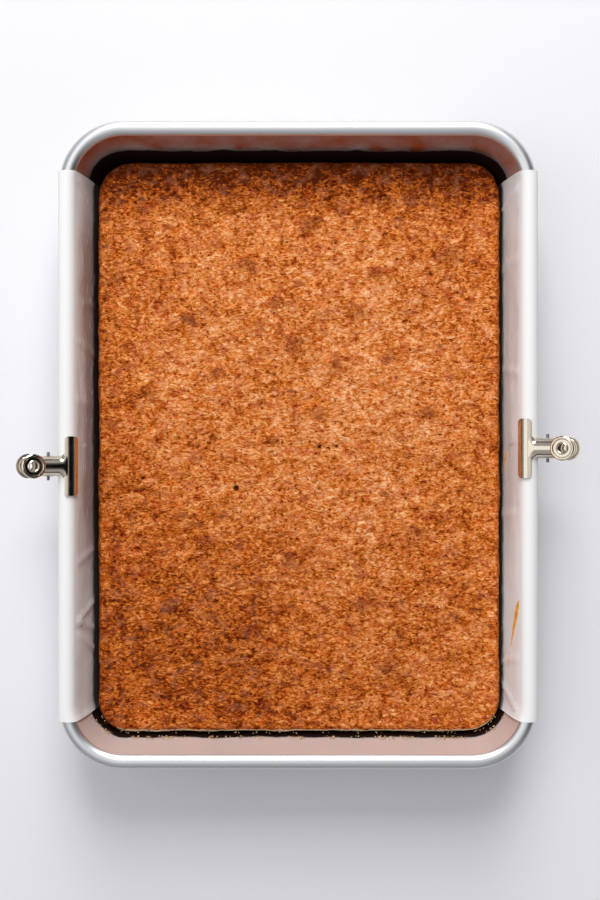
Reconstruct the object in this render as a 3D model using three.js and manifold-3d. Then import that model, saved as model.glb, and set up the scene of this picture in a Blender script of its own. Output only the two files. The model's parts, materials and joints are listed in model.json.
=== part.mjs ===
// A browned sheet cake in its own baking pan: a pressed aluminium pan with a rolled rim, a sheet of
// parchment slung across it and over both long sides, the cake, and two nickel-plated spring clips
// that hold the parchment to the rim.
// Millimetres, +Z up. X runs across the pan and Y along it. The origin is under the pan's middle.
import * as THREE from "three";
import { mergeVertices } from "three/addons/utils/BufferGeometryUtils.js";
import Module from "manifold-3d";

const radians = THREE.MathUtils.degToRad;

// Pan: aluminium sheet, walls leaning out, rim rolled outwards and down into a bead.
const PAN_WIDTH = 250.6;
const PAN_LENGTH = 340;
const PAN_HEIGHT = 52;
const RIM_CORNER = 34;
const SHEET = 1.2;
const BEAD_RADIUS = 4.25;
const BASE_BEND = 9;
const WALL_LEAN = radians(17);
const CURL_END = radians(-110);

// Cake: shrunk a little off the walls, sides following the lean, top edge rounded, crown raised.
const CAKE_WIDTH = 217.8;
const CAKE_LENGTH = 307.2;
const CAKE_CORNER = 18;
const CAKE_SHIFT = new THREE.Vector2(0.5, -0.9);
const CAKE_SHOULDER = 29;
const CAKE_EDGE_ROUND = 4;
const CAKE_EDGE_END = radians(85);
const CAKE_CROWN = 3;
const CAKE_CROWN_CORNER = 3;
const CAKE_FOOT_ROUND = 8;

// Where the rings of the cake's crown lie, as shares of the way from its edge to its middle.
const CROWN_SHARES = [0.12, 0.3, 0.55, 0.85];

// Parchment: a narrower sheet, its free ends cut square, hanging outside both long rims.
const PAPER = 0.4;
const PAPER_LENGTH = 288;
const PAPER_CREEP = 0.1;
const FLAP_DROP = 20;
const FLAP_FLARE = 1.2;
const TUCK_DROP = 0.2;
const TUCK_SLANT = 0.03;
const PAPER_END_STEP = 2.5;

// The flap's points. Where it hangs free they are shares of its drop. Where a clip tucks it in, the
// first half lie at these turns round the bead and the rest at these drops behind the jaw.
const FLAP_SHARES = [0.16, 0.32, 0.46, 0.58, 0.78, 1];
const WRAP_TURNS = [-38, -76, -108].map(radians);
const TUCKED_DROPS = [0, 5.5, 12];

// How far past the jaw's ends the flap is still fully tucked in, is half free, and is free.
const TUCK_BEYOND = [1, 11, 23];

// Clips: two pressed leaves on a pin, jaws curled round the bead, handles ending in holed discs.
const CLIP_Y = { left: -11, right: -1.7 };
const CLIP_TILT = radians(25);
const PIN_REACH = 10.1;
const DISC_REACH = 9.1;
const JAW_WIDTH = 31;
const JAW_DEPTH = 9;
const JAW_CORNER = 2;
const JAW_TURNS = [135, 92];
const JAW_SHOULDER = 1;
const LEAF = 0.7;
const DISC_RADIUS = 6.3;
const DISC_HOLE = 2.4;
const ROLL_WIDTH = 1.5;
const ROLL_RISE = 0.7;
const HOLE_LIP_WIDTH = 1.4;
const HOLE_LIP_RISE = 0.5;
const UPPER_NECK = 5.3;
const LOWER_NECK = 3.9;
const SPINE = 1.6;
const EAR_RADIUS = 2.2;
const PIN_RADIUS = 0.9;
const PIN_LENGTH = 14.8;
const PIN_CHAMFER = 0.2;
const COIL_RADIUS = 2;
const COIL_WIRE = 0.4;
const COIL_TURNS = 3;
const COIL_PITCH = 1.2;
const LEG_LENGTH = 4;
const LEG_SPREAD = radians(15);

// The jaw's turned-out lip: each point's turn about the bead, and how far it flares off the curl.
const LIP = [{ turn: 141, flare: 1.3 }, { turn: 140, flare: 0.5 }];

// Clearance kept between neighbouring pieces, how far the parts of one leaf run into each other
// before they are joined, and how finely round stretches are divided.
const GAP = 0.3;
const OVERLAP = 1;
const CORNER_STEPS = 7;
const BEAD_STEPS = 12;
const BEND_STEPS = 4;
const PAPER_BEAD_STEPS = 5;
const PAPER_BEND_STEPS = 3;
const CAKE_STEPS = 4;
const JAW_STEPS = 5;
const WIRE_STEPS = 8;

const wasm = await Module();
wasm.setup();

// ---------------------------------------------------------------- mesh helpers

function volumeOf(points, triangles) {
  let six = 0;
  for (const [a, b, c] of triangles) {
    six += points[a].dot(points[b].clone().cross(points[c]));
  }
  return six / 6;
}

// A closed body from points and triangles, turned so that its faces point outwards.
function closedBody(points, triangles) {
  const outward = volumeOf(points, triangles) > 0;
  const indices = triangles.flatMap(([a, b, c]) => (outward ? [a, b, c] : [a, c, b]));
  const geometry = new THREE.BufferGeometry().setFromPoints(points);
  geometry.setIndex(indices);
  geometry.computeVertexNormals();
  return geometry;
}

// A body lofted through closed rings, with a flat face across the first ring and the last.
function loftRings(rings) {
  const count = rings[0].length;
  const last = (rings.length - 1) * count;
  const triangles = [];
  for (let start = 0; start < last; start += count) {
    for (let i = 0; i < count; i += 1) {
      const next = (i + 1) % count;
      triangles.push([start + i, start + next, start + count + next]);
      triangles.push([start + i, start + count + next, start + count + i]);
    }
  }
  for (let i = 1; i + 1 < count; i += 1) {
    triangles.push([0, i + 1, i]);
    triangles.push([last, last + i, last + i + 1]);
  }
  return closedBody(rings.flat(), triangles);
}

// One level ring of a rounded rectangle.
function roundedRing(halfWidth, halfLength, corner, height, shift = new THREE.Vector2()) {
  const points = [];
  const quarters = [[1, 1], [-1, 1], [-1, -1], [1, -1]];
  quarters.forEach(([sideX, sideY], quarter) => {
    for (let step = 0; step <= CORNER_STEPS; step += 1) {
      const turn = (quarter + step / CORNER_STEPS) * Math.PI / 2;
      const x = sideX * (halfWidth - corner) + corner * Math.cos(turn);
      const y = sideY * (halfLength - corner) + corner * Math.sin(turn);
      points.push(new THREE.Vector3(shift.x + x, shift.y + y, height));
    }
  });
  return points;
}

function solidOf(geometry) {
  const bare = geometry.clone();
  bare.deleteAttribute("normal");
  bare.deleteAttribute("uv");
  const merged = mergeVertices(bare, 1e-4);
  const mesh = new wasm.Mesh({
    numProp: 3,
    vertProperties: new Float32Array(merged.attributes.position.array),
    triVerts: new Uint32Array(merged.index.array),
  });
  return new wasm.Manifold(mesh);
}

function geometryOf(solid) {
  const mesh = solid.getMesh();
  const geometry = new THREE.BufferGeometry();
  geometry.setAttribute("position", new THREE.BufferAttribute(mesh.vertProperties, 3));
  geometry.setIndex(new THREE.BufferAttribute(mesh.triVerts, 1));
  geometry.computeVertexNormals();
  return geometry;
}

function extrudeUp(shape, height, curveSegments = 8) {
  return new THREE.ExtrudeGeometry(shape, { depth: height, bevelEnabled: false, curveSegments });
}

// ---------------------------------------------------------------- the pan's section

// Sections are measured as inset, how far in from the rim's outermost edge, and height.
// An angle is taken from straight outwards, turning up.
function sectionPoint(centre, radius, angle) {
  return {
    inset: centre.inset - radius * Math.cos(angle),
    height: centre.height + radius * Math.sin(angle),
    angle,
  };
}

function sectionArc(centre, radius, from, to, steps) {
  const points = [];
  for (let step = 0; step <= steps; step += 1) {
    points.push(sectionPoint(centre, radius, from + (to - from) * step / steps));
  }
  return points;
}

const beadCentre = { inset: BEAD_RADIUS, height: PAN_HEIGHT - BEAD_RADIUS };

function wallInset(height) {
  const top = beadCentre.inset + BEAD_RADIUS * Math.cos(WALL_LEAN);
  const topHeight = beadCentre.height + BEAD_RADIUS * Math.sin(WALL_LEAN);
  return top + (topHeight - height) * Math.tan(WALL_LEAN);
}

const bendHeight = SHEET + BASE_BEND;
const bendCentre = {
  inset: wallInset(bendHeight) + BASE_BEND / Math.cos(WALL_LEAN),
  height: bendHeight,
};

// The pan's inner face, raised off it by a given amount, from the flat base up the wall and over
// the bead as far as the end angle. A negative rise gives the sheet's other face.
function panFace(rise, endAngle, bendSteps, beadSteps) {
  const foot = sectionArc(bendCentre, BASE_BEND - rise, radians(-90), -WALL_LEAN, bendSteps);
  const start = Math.PI - WALL_LEAN;
  const rim = sectionArc(beadCentre, BEAD_RADIUS + rise, start, endAngle, beadSteps);
  return [...foot, ...rim];
}

function panRing({ inset, height }) {
  return roundedRing(PAN_WIDTH / 2 - inset, PAN_LENGTH / 2 - inset, RIM_CORNER - inset, height);
}

function panBody() {
  const inner = panFace(0, CURL_END, BEND_STEPS, BEAD_STEPS);
  const outer = panFace(-SHEET, CURL_END, BEND_STEPS, BEAD_STEPS);
  return loftRings([...inner, ...outer.reverse()].map(panRing));
}

// ---------------------------------------------------------------- the cake

// The side goes from the flat underside round the foot, up the leaning side, over the rounded top
// edge and then across the crown in rings that rise towards the middle.
function cakeBody() {
  const underside = SHEET + PAPER + 2 * GAP;
  const lean = Math.tan(WALL_LEAN);
  const footHeight = underside + CAKE_FOOT_ROUND;
  const footCentre = {
    inset: (CAKE_SHOULDER - footHeight) * lean + CAKE_FOOT_ROUND / Math.cos(WALL_LEAN),
    height: footHeight,
  };
  const edgeCentre = { inset: CAKE_EDGE_ROUND, height: CAKE_SHOULDER };
  const foot = sectionArc(footCentre, CAKE_FOOT_ROUND, radians(-90), -WALL_LEAN, CAKE_STEPS);
  const edge = sectionArc(edgeCentre, CAKE_EDGE_ROUND, 0, CAKE_EDGE_END, CAKE_STEPS);
  const edgeTop = edge[edge.length - 1];
  const middle = CAKE_WIDTH / 2;
  const crown = CROWN_SHARES.map((share) => ({
    inset: edgeTop.inset + share * (middle - edgeTop.inset),
    height: edgeTop.height + CAKE_CROWN * (1 - (1 - share) ** 2),
  }));
  const rings = [...foot, ...edge, ...crown].map(({ inset, height }) => {
    const corner = Math.max(CAKE_CORNER - inset, CAKE_CROWN_CORNER);
    return roundedRing(middle - inset, CAKE_LENGTH / 2 - inset, corner, height, CAKE_SHIFT);
  });
  return loftRings(rings);
}

// ---------------------------------------------------------------- the parchment

const TUCK_STEPS = TUCK_BEYOND.map((beyond) => JAW_WIDTH / 2 + beyond);

// How far a clip's lower jaw tucks the hanging flap in at y: 1 within the jaw, easing to 0 beyond.
function tuckAt(y, clipY) {
  const [full, , none] = TUCK_STEPS;
  return 1 - THREE.MathUtils.smoothstep(Math.abs(y - clipY), full, none);
}

// The flap outside the bead, hanging free or tucked under the bead and down behind the jaw.
function flapPoints(rise, tuck) {
  const free = FLAP_SHARES.map((share) => ({
    inset: -rise - FLAP_FLARE * share,
    height: beadCentre.height - FLAP_DROP * share,
  }));
  const wrap = WRAP_TURNS.map((turn) => sectionPoint(beadCentre, BEAD_RADIUS + rise, turn));
  const lipHeight = beadCentre.height - BEAD_RADIUS - TUCK_DROP - rise;
  const outside = wallInset(lipHeight) - SHEET / Math.cos(WALL_LEAN);
  const behind = TUCKED_DROPS.map((drop) => ({
    inset: outside - GAP - rise + TUCK_SLANT * drop,
    height: lipHeight - drop,
  }));
  const tucked = [...wrap, ...behind];
  return free.map((point, i) => ({
    inset: THREE.MathUtils.lerp(point.inset, tucked[i].inset, tuck),
    height: THREE.MathUtils.lerp(point.height, tucked[i].height, tuck),
    straight: 1,
  }));
}

// Half of one face of the sheet at a station along it, from the middle of the base outwards.
function paperHalf(rise, tuck) {
  const onPan = panFace(rise, 0, PAPER_BEND_STEPS, PAPER_BEAD_STEPS).map((point, i) => ({
    ...point,
    straight: i > PAPER_BEND_STEPS ? Math.max(0, Math.cos(point.angle)) : 0,
  }));
  return [...onPan, ...flapPoints(rise, tuck)];
}

// Across the pan the sheet follows the corner's curve inside the rim and stays straight outside.
function paperPoint({ inset, height, straight }, side, along) {
  const shrink = PAPER_CREEP * Math.max(0, PAN_HEIGHT - height) * (inset > BEAD_RADIUS ? 1 : 0);
  const y = Math.sign(along) * Math.max(0, Math.abs(along) - shrink);
  const corner = Math.max(RIM_CORNER - inset, 0);
  const past = Math.max(0, Math.abs(y) - (PAN_LENGTH / 2 - RIM_CORNER));
  const cut = corner - Math.sqrt(Math.max(0, corner ** 2 - past ** 2));
  const x = PAN_WIDTH / 2 - inset - cut * (1 - straight);
  return new THREE.Vector3(side * x, y, height);
}

function paperStations() {
  const end = PAPER_LENGTH / 2;
  const corner = PAN_LENGTH / 2 - RIM_CORNER;
  const ends = [end, end - PAPER_END_STEP, corner];
  const stations = [...ends, ...ends.map((y) => -y)];
  for (const clipY of Object.values(CLIP_Y)) {
    for (const step of TUCK_STEPS) {
      stations.push(clipY - step, clipY + step);
    }
  }
  return stations.sort((a, b) => a - b);
}

function paperRow(rise, along) {
  const right = paperHalf(rise, tuckAt(along, CLIP_Y.right));
  const left = paperHalf(rise, tuckAt(along, CLIP_Y.left)).reverse();
  return [
    ...left.map((point) => paperPoint(point, -1, along)),
    ...right.map((point) => paperPoint(point, 1, along)),
  ];
}

// A thin closed sheet from two grids of points, its upper and lower faces, with the same rows.
function sheetBody(upper, lower) {
  const rows = upper.length;
  const count = upper[0].length;
  const under = rows * count;
  const triangles = [];
  for (let row = 0; row + 1 < rows; row += 1) {
    for (let i = 0; i + 1 < count; i += 1) {
      const a = row * count + i;
      const [b, c, d] = [a + 1, a + count + 1, a + count];
      triangles.push([a, b, c], [a, c, d]);
      triangles.push([under + a, under + c, under + b], [under + a, under + d, under + c]);
    }
  }
  const across = [...Array(count).keys()];
  const down = [...Array(rows).keys()];
  const border = [
    ...across,
    ...down.slice(1).map((row) => row * count + count - 1),
    ...across.slice(0, -1).reverse().map((i) => (rows - 1) * count + i),
    ...down.slice(1, -1).reverse().map((row) => row * count),
  ];
  border.forEach((from, i) => {
    const to = border[(i + 1) % border.length];
    triangles.push([to, from, under + from], [to, under + from, under + to]);
  });
  return closedBody([...upper.flat(), ...lower.flat()], triangles);
}

function paperBody() {
  const stations = paperStations();
  const upper = stations.map((along) => paperRow(GAP + PAPER, along));
  const lower = stations.map((along) => paperRow(GAP, along));
  return sheetBody(upper, lower);
}

// ---------------------------------------------------------------- the clips

// A clip is made about its pin: X points out along the handles, Y along the pin, Z to the upper
// leaf. The rim's bead then lies PIN_REACH behind the pin.
const LEAF_ROUND = BEAD_RADIUS + PAPER + 2 * GAP + LEAF / 2;
const LEAF_SLOPE = radians(2);
const NECK_CROWN = LEAF_ROUND + PIN_REACH * Math.tan(LEAF_SLOPE) + LEAF / 2;
const JAW_BACK = -PIN_REACH - LEAF_ROUND - JAW_SHOULDER;
const JAW_FRONT = JAW_BACK + JAW_DEPTH;

// The outline of a strip of even thickness along a centre line.
function stripShape(line, thickness) {
  const sides = [1, -1].map((side) => line.map((point, i) => {
    const before = line[Math.max(i - 1, 0)];
    const after = line[Math.min(i + 1, line.length - 1)];
    const along = after.clone().sub(before).normalize();
    return new THREE.Vector2(-along.y, along.x).multiplyScalar(side * thickness / 2).add(point);
  }));
  return new THREE.Shape([...sides[0], ...sides[1].reverse()]);
}

// The leaf seen from the side: a turned-out lip, the jaw curled round the bead, then nearly flat.
function leafLine() {
  const about = (turn, radius) => new THREE.Vector2(
    radius * Math.cos(radians(turn)) - PIN_REACH,
    radius * Math.sin(radians(turn)),
  );
  const line = LIP.map(({ turn, flare }) => about(turn, LEAF_ROUND + flare));
  for (let step = 0; step <= JAW_STEPS; step += 1) {
    line.push(about(THREE.MathUtils.lerp(...JAW_TURNS, step / JAW_STEPS), LEAF_ROUND));
  }
  const end = DISC_REACH - DISC_HOLE - OVERLAP;
  line.push(new THREE.Vector2(end, LEAF_ROUND + (end + PIN_REACH) * Math.tan(LEAF_SLOPE)));
  return line;
}

// The leaf seen from above, short of the disc: the wide jaw, its filleted shoulders and the
// narrow spine that runs along the crown of the neck.
function leafPlan(neck) {
  const half = JAW_WIDTH / 2;
  const back = JAW_BACK;
  const front = JAW_FRONT;
  const plan = new THREE.Shape();
  plan.moveTo(back, JAW_CORNER - half);
  plan.absarc(back + JAW_CORNER, JAW_CORNER - half, JAW_CORNER, Math.PI, 1.5 * Math.PI);
  plan.absarc(front - JAW_CORNER, JAW_CORNER - half, JAW_CORNER, -0.5 * Math.PI, 0);
  plan.lineTo(front, -neck);
  plan.lineTo(front + JAW_SHOULDER, -SPINE);
  plan.lineTo(DISC_REACH, -SPINE);
  plan.lineTo(DISC_REACH, SPINE);
  plan.lineTo(front + JAW_SHOULDER, SPINE);
  plan.lineTo(front, neck);
  plan.absarc(front - JAW_CORNER, half - JAW_CORNER, JAW_CORNER, 0, 0.5 * Math.PI);
  plan.absarc(back + JAW_CORNER, half - JAW_CORNER, JAW_CORNER, 0.5 * Math.PI, Math.PI);
  return plan;
}

// The pressed disc: a flat washer with a rolled edge and a raised ring round its hole.
function discBody() {
  const low = -LEAF / 2;
  const high = LEAF / 2;
  const profile = [
    [DISC_HOLE, low],
    [DISC_RADIUS, low],
    [DISC_RADIUS, high + ROLL_RISE / 2],
    [DISC_RADIUS - ROLL_WIDTH / 3, high + ROLL_RISE],
    [DISC_RADIUS - 2 * ROLL_WIDTH / 3, high + ROLL_RISE / 2],
    [DISC_RADIUS - ROLL_WIDTH, high],
    [DISC_HOLE + HOLE_LIP_WIDTH, high],
    [DISC_HOLE + HOLE_LIP_WIDTH / 2, high + HOLE_LIP_RISE],
    [DISC_HOLE, high + HOLE_LIP_RISE / 2],
    [DISC_HOLE, low],
  ].map(([radius, height]) => new THREE.Vector2(radius, height));
  const disc = new THREE.LatheGeometry(profile, 16);
  disc.rotateX(Math.PI / 2);
  disc.rotateY(-LEAF_SLOPE);
  const lift = LEAF_ROUND + (PIN_REACH + DISC_REACH) * Math.tan(LEAF_SLOPE);
  return disc.translate(DISC_REACH, 0, lift);
}

// The neck is a half-round channel, open below, with an ear each side for the pin.
function neckBody(neck) {
  const channel = new THREE.Shape();
  const centre = NECK_CROWN - neck;
  channel.absarc(0, centre, neck, 0, Math.PI);
  channel.absarc(0, centre, neck - LEAF, Math.PI, 0, true);
  const start = JAW_FRONT - LEAF;
  const end = DISC_REACH - DISC_RADIUS + OVERLAP;
  const body = extrudeUp(channel, end - start, 7);
  body.rotateX(Math.PI / 2).rotateZ(Math.PI / 2);
  return body.translate(start, 0, 0);
}

function earBody(neck, side) {
  const ear = new THREE.Shape();
  ear.absarc(0, 0, EAR_RADIUS, Math.PI, 0);
  ear.lineTo(EAR_RADIUS, NECK_CROWN - neck + OVERLAP);
  ear.lineTo(-EAR_RADIUS, NECK_CROWN - neck + OVERLAP);
  const body = extrudeUp(ear, LEAF, 3).rotateX(Math.PI / 2);
  return body.translate(0, side > 0 ? neck : LEAF - neck, 0);
}

// A round bar along the pin's direction, used to cut the pin's holes and the room for the bead.
function crossBar(radius, x, segments) {
  return new THREE.CylinderGeometry(radius, radius, 2 * JAW_WIDTH, segments).translate(x, 0, 0);
}

function leafBody(neck) {
  const plan = extrudeUp(leafPlan(neck), 4 * NECK_CROWN, 2).translate(0, 0, -2 * NECK_CROWN);
  const strip = extrudeUp(stripShape(leafLine(), LEAF), JAW_WIDTH).rotateX(Math.PI / 2);
  strip.translate(0, JAW_WIDTH / 2, 0);
  const room = crossBar(LEAF_ROUND - LEAF / 2, -PIN_REACH, 18);
  const leaf = solidOf(strip)
    .intersect(solidOf(plan))
    .add(solidOf(neckBody(neck)).subtract(solidOf(room)))
    .add(solidOf(earBody(neck, 1)))
    .add(solidOf(earBody(neck, -1)))
    .add(solidOf(discBody()))
    .subtract(solidOf(crossBar(PIN_RADIUS + GAP, 0, 12)));
  return geometryOf(leaf);
}

function pinBody() {
  const half = PIN_LENGTH / 2;
  const profile = [
    [0, -half],
    [PIN_RADIUS - PIN_CHAMFER, -half],
    [PIN_RADIUS, -half + PIN_CHAMFER],
    [PIN_RADIUS, half - PIN_CHAMFER],
    [PIN_RADIUS - PIN_CHAMFER, half],
    [0, half],
  ].map(([radius, height]) => new THREE.Vector2(radius, height));
  return new THREE.LatheGeometry(profile, 12);
}

// The spring's wire: a leg in from the lower handle, turns round the pin, a leg to the upper one.
class SpringWire extends THREE.Curve {
  getPoint(t, target = new THREE.Vector3()) {
    const wrapped = 2 * Math.PI * COIL_TURNS + Math.PI - 2 * LEG_SPREAD;
    const turning = wrapped * COIL_RADIUS;
    const run = t * (turning + 2 * LEG_LENGTH) - LEG_LENGTH;
    const wound = THREE.MathUtils.clamp(run, 0, turning);
    const straight = run - wound;
    const angle = -Math.PI / 2 - LEG_SPREAD - wound / COIL_RADIUS;
    return target.set(
      COIL_RADIUS * Math.cos(angle) + straight * Math.sin(angle),
      (wound / turning - 0.5) * COIL_TURNS * COIL_PITCH,
      COIL_RADIUS * Math.sin(angle) - straight * Math.cos(angle),
    );
  }
}

function springBody() {
  const section = new THREE.Shape();
  section.absarc(0, 0, COIL_WIRE, 0, 2 * Math.PI);
  return new THREE.ExtrudeGeometry(section, {
    steps: WIRE_STEPS * (COIL_TURNS + 1),
    bevelEnabled: false,
    curveSegments: 3,
    extrudePath: new SpringWire(),
  });
}

// ---------------------------------------------------------------- the object

// Each finish's colour, roughness and metalness.
const ALUMINIUM = [0xcfd0d2, 0.35, 1];
const PARCHMENT = [0xefedea, 0.6, 0];
const SPONGE = [0xba6631, 0.8, 0];
const NICKEL = [0xc9c3b8, 0.22, 1];
const STEEL = [0x8f8f8c, 0.35, 1];

function piece(name, geometry, color, roughness, metalness) {
  const material = new THREE.MeshStandardMaterial({ color, roughness, metalness });
  const mesh = new THREE.Mesh(geometry, material);
  mesh.name = name;
  return mesh;
}

function clip(side) {
  const name = `${side}_clip`;
  const upper = piece(`${name}_upper_leaf`, leafBody(UPPER_NECK), ...NICKEL);
  const lower = piece(`${name}_lower_leaf`, leafBody(LOWER_NECK), ...NICKEL);
  lower.rotation.x = Math.PI;
  const pin = piece(`${name}_pin`, pinBody(), ...STEEL);
  const spring = piece(`${name}_spring`, springBody(), ...STEEL);
  const tilted = new THREE.Group();
  tilted.add(upper, lower, pin, spring);
  tilted.position.set(
    PAN_WIDTH / 2 - BEAD_RADIUS + PIN_REACH * Math.cos(CLIP_TILT),
    0,
    beadCentre.height + PIN_REACH * Math.sin(CLIP_TILT),
  );
  tilted.rotation.y = -CLIP_TILT;
  const placed = new THREE.Group();
  placed.add(tilted);
  placed.position.y = CLIP_Y[side];
  placed.rotation.z = side === "left" ? Math.PI : 0;
  return placed;
}

const sheetCake = new THREE.Group();
sheetCake.add(piece("pan", panBody(), ...ALUMINIUM));
sheetCake.add(piece("parchment", paperBody(), ...PARCHMENT));
sheetCake.add(piece("cake", cakeBody(), ...SPONGE));
sheetCake.add(clip("left"));
sheetCake.add(clip("right"));

export default sheetCake;
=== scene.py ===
import json
import math

import bmesh
import bpy
import numpy as np
from mathutils import Matrix, Vector, noise


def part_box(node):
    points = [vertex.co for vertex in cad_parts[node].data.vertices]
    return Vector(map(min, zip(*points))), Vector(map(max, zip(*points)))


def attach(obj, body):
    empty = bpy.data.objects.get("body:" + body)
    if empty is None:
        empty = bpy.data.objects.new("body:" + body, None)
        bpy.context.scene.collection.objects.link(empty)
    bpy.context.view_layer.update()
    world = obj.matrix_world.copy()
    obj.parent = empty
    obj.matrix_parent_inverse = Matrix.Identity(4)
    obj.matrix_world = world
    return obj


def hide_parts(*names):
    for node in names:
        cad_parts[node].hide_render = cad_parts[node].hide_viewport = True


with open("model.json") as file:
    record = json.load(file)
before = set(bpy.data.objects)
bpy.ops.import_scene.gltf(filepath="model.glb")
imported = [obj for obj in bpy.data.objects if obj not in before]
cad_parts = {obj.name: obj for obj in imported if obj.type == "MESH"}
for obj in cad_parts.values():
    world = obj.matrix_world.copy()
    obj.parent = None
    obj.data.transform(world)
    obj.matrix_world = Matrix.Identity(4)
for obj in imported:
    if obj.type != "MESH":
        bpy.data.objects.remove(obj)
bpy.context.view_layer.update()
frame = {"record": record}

# ---------------------------------------------------------------- the pan
# A deep baking pan pressed from 1.2 mm aluminium sheet, its walls leaning out and its edge rolled
# outwards into a bead. One section is swept round a rounded rectangle, and the flat base is filled
# in where the sweep starts.
MM = 0.001
SHEET = 1.2 * MM
BEAD_RADIUS = 4.25 * MM
BASE_BEND = 9 * MM
RIM_CORNER = 34 * MM
WALL_LEAN = math.radians(17)
CURL_END = math.radians(-110)

pan_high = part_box("pan")[1]
pan_half = Vector((pan_high.x, pan_high.y))
bead_height = pan_high.z - BEAD_RADIUS


def wall_inset(height):
    """How far in from the rim's outer edge the wall's visible face lies at a height."""
    top = BEAD_RADIUS * (1 + math.cos(WALL_LEAN))
    return top + (bead_height + BEAD_RADIUS * math.sin(WALL_LEAN) - height) * math.tan(WALL_LEAN)


bend_height = SHEET + BASE_BEND
bend_inset = wall_inset(bend_height) + BASE_BEND / math.cos(WALL_LEAN)


def bend_point(rise, angle):
    """A point (inset, height) on the bend at the foot of the wall, raised off the sheet."""
    radius = BASE_BEND - rise
    return bend_inset - radius * np.cos(angle), bend_height + radius * np.sin(angle)


def bead_point(rise, angle):
    """A point (inset, height) on the rolled rim, by the angle from straight outwards turning up."""
    radius = BEAD_RADIUS + rise
    return BEAD_RADIUS - radius * np.cos(angle), bead_height + radius * np.sin(angle)


def pan_section():
    """The sheet's section from the foot of the wall, up and round the bead, and back outside."""
    bend = np.linspace(-math.pi / 2, -WALL_LEAN, 10)
    bead = np.linspace(math.pi - WALL_LEAN, CURL_END, 44)
    inner = [bend_point(0, turn) for turn in bend] + [bead_point(0, turn) for turn in bead]
    outer = [bend_point(-SHEET, turn) for turn in bend]
    outer += [bead_point(-SHEET, turn) for turn in bead]
    return inner, outer[::-1]


def new_piece(name, points, faces, edges=()):
    """An object at the origin with a mesh of these points, edges and faces."""
    mesh = bpy.data.meshes.new(name)
    mesh.from_pydata([tuple(point) for point in points], edges, faces)
    piece = bpy.data.objects.new(name, mesh)
    bpy.context.collection.objects.link(piece)
    return piece


def add(tree, kind, inputs=None, stops=None, **settings):
    """Adds a node with its settings. Each input takes a value, a socket or a node to link."""
    node = tree.nodes.new(kind)
    for name, value in settings.items():
        setattr(node, name, value)
    for key, value in (inputs or {}).items():
        value = value.outputs[0] if hasattr(value, "outputs") else value
        if isinstance(value, bpy.types.NodeSocket):
            tree.links.new(value, node.inputs[key])
        else:
            node.inputs[key].default_value = value
    for i, (place, colour) in enumerate(stops or ()):
        elements = node.color_ramp.elements
        element = elements[i] if i < len(elements) else elements.new(1.0)
        element.position = place
        element.color = colour
    return node


def linear(hex_code):
    """An sRGB hex colour as linear red, green, blue and alpha."""
    shown = [int(hex_code[i:i + 2], 16) / 255 for i in (1, 3, 5)]
    return [c / 12.92 if c <= 0.04045 else ((c + 0.055) / 1.055) ** 2.4 for c in shown] + [1]


def new_material(name, shader_inputs):
    """A material with its Principled shader wired up, and a node giving Object coordinates."""
    material = bpy.data.materials.new(name)
    material.use_nodes = True
    tree = material.node_tree
    tree.nodes.clear()
    shader = add(tree, "ShaderNodeBsdfPrincipled", shader_inputs)
    add(tree, "ShaderNodeOutputMaterial", {"Surface": shader})
    place = add(tree, "ShaderNodeTexCoord").outputs["Object"]
    return material, tree, shader, place


def dress(tree, shader, **looks):
    """Links nodes or sockets to the shader's sockets of these names, with _ for a space."""
    for name, look in looks.items():
        look = look.outputs[0] if hasattr(look, "outputs") else look
        tree.links.new(look, shader.inputs[name.replace("_", " ")])


def note_points(piece, **notes):
    """Stores numbers at a piece's points, for its material or its tree to read by these names."""
    for name, values in notes.items():
        piece.data.attributes.new(name, "FLOAT", "POINT").data.foreach_set("value", values)


def new_tree(name, **inputs):
    """A Geometry Nodes tree with geometry in and out and named number inputs."""
    tree = bpy.data.node_groups.new(name, "GeometryNodeTree")
    tree.interface.new_socket("Geometry", in_out="INPUT", socket_type="NodeSocketGeometry")
    for key, value in inputs.items():
        kind = "NodeSocketInt" if isinstance(value, int) else "NodeSocketFloat"
        socket = tree.interface.new_socket(key, in_out="INPUT", socket_type=kind)
        socket.default_value = value
    tree.interface.new_socket("Geometry", in_out="OUTPUT", socket_type="NodeSocketGeometry")
    return tree, add(tree, "NodeGroupInput").outputs


def end_tree(tree, geometry, material):
    """Ends a tree with its instances realized and its material set."""
    real = add(tree, "GeometryNodeRealizeInstances", {"Geometry": geometry})
    dressed = add(tree, "GeometryNodeSetMaterial", {"Geometry": real, "Material": material})
    add(tree, "NodeGroupOutput", {0: dressed})


def grow(piece, tree, **values):
    """Runs a tree on a piece with these inputs, and keeps the result as its plain mesh."""
    modifier = piece.modifiers.new(tree.name, "NODES")
    modifier.node_group = tree
    for item in tree.interface.items_tree:
        if item.in_out == "INPUT" and item.name in values:
            modifier[item.identifier] = values[item.name]
    settle(piece)


def settle(piece):
    """Replaces a piece's mesh by what its modifiers make of it, and drops the modifiers."""
    graph = bpy.context.evaluated_depsgraph_get()
    mesh = bpy.data.meshes.new_from_object(piece.evaluated_get(graph))
    piece.modifiers.clear()
    piece.data = mesh


def smooth(piece, sharpest=35):
    """Faces outwards, and smooth shading except where the surface turns sharply (degrees)."""
    shape = bmesh.new()
    shape.from_mesh(piece.data)
    bmesh.ops.recalc_face_normals(shape, faces=shape.faces)
    shape.to_mesh(piece.data)
    shape.free()
    piece.data.shade_smooth()
    piece.data.set_sharp_from_angle(angle=math.radians(sharpest))


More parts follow.
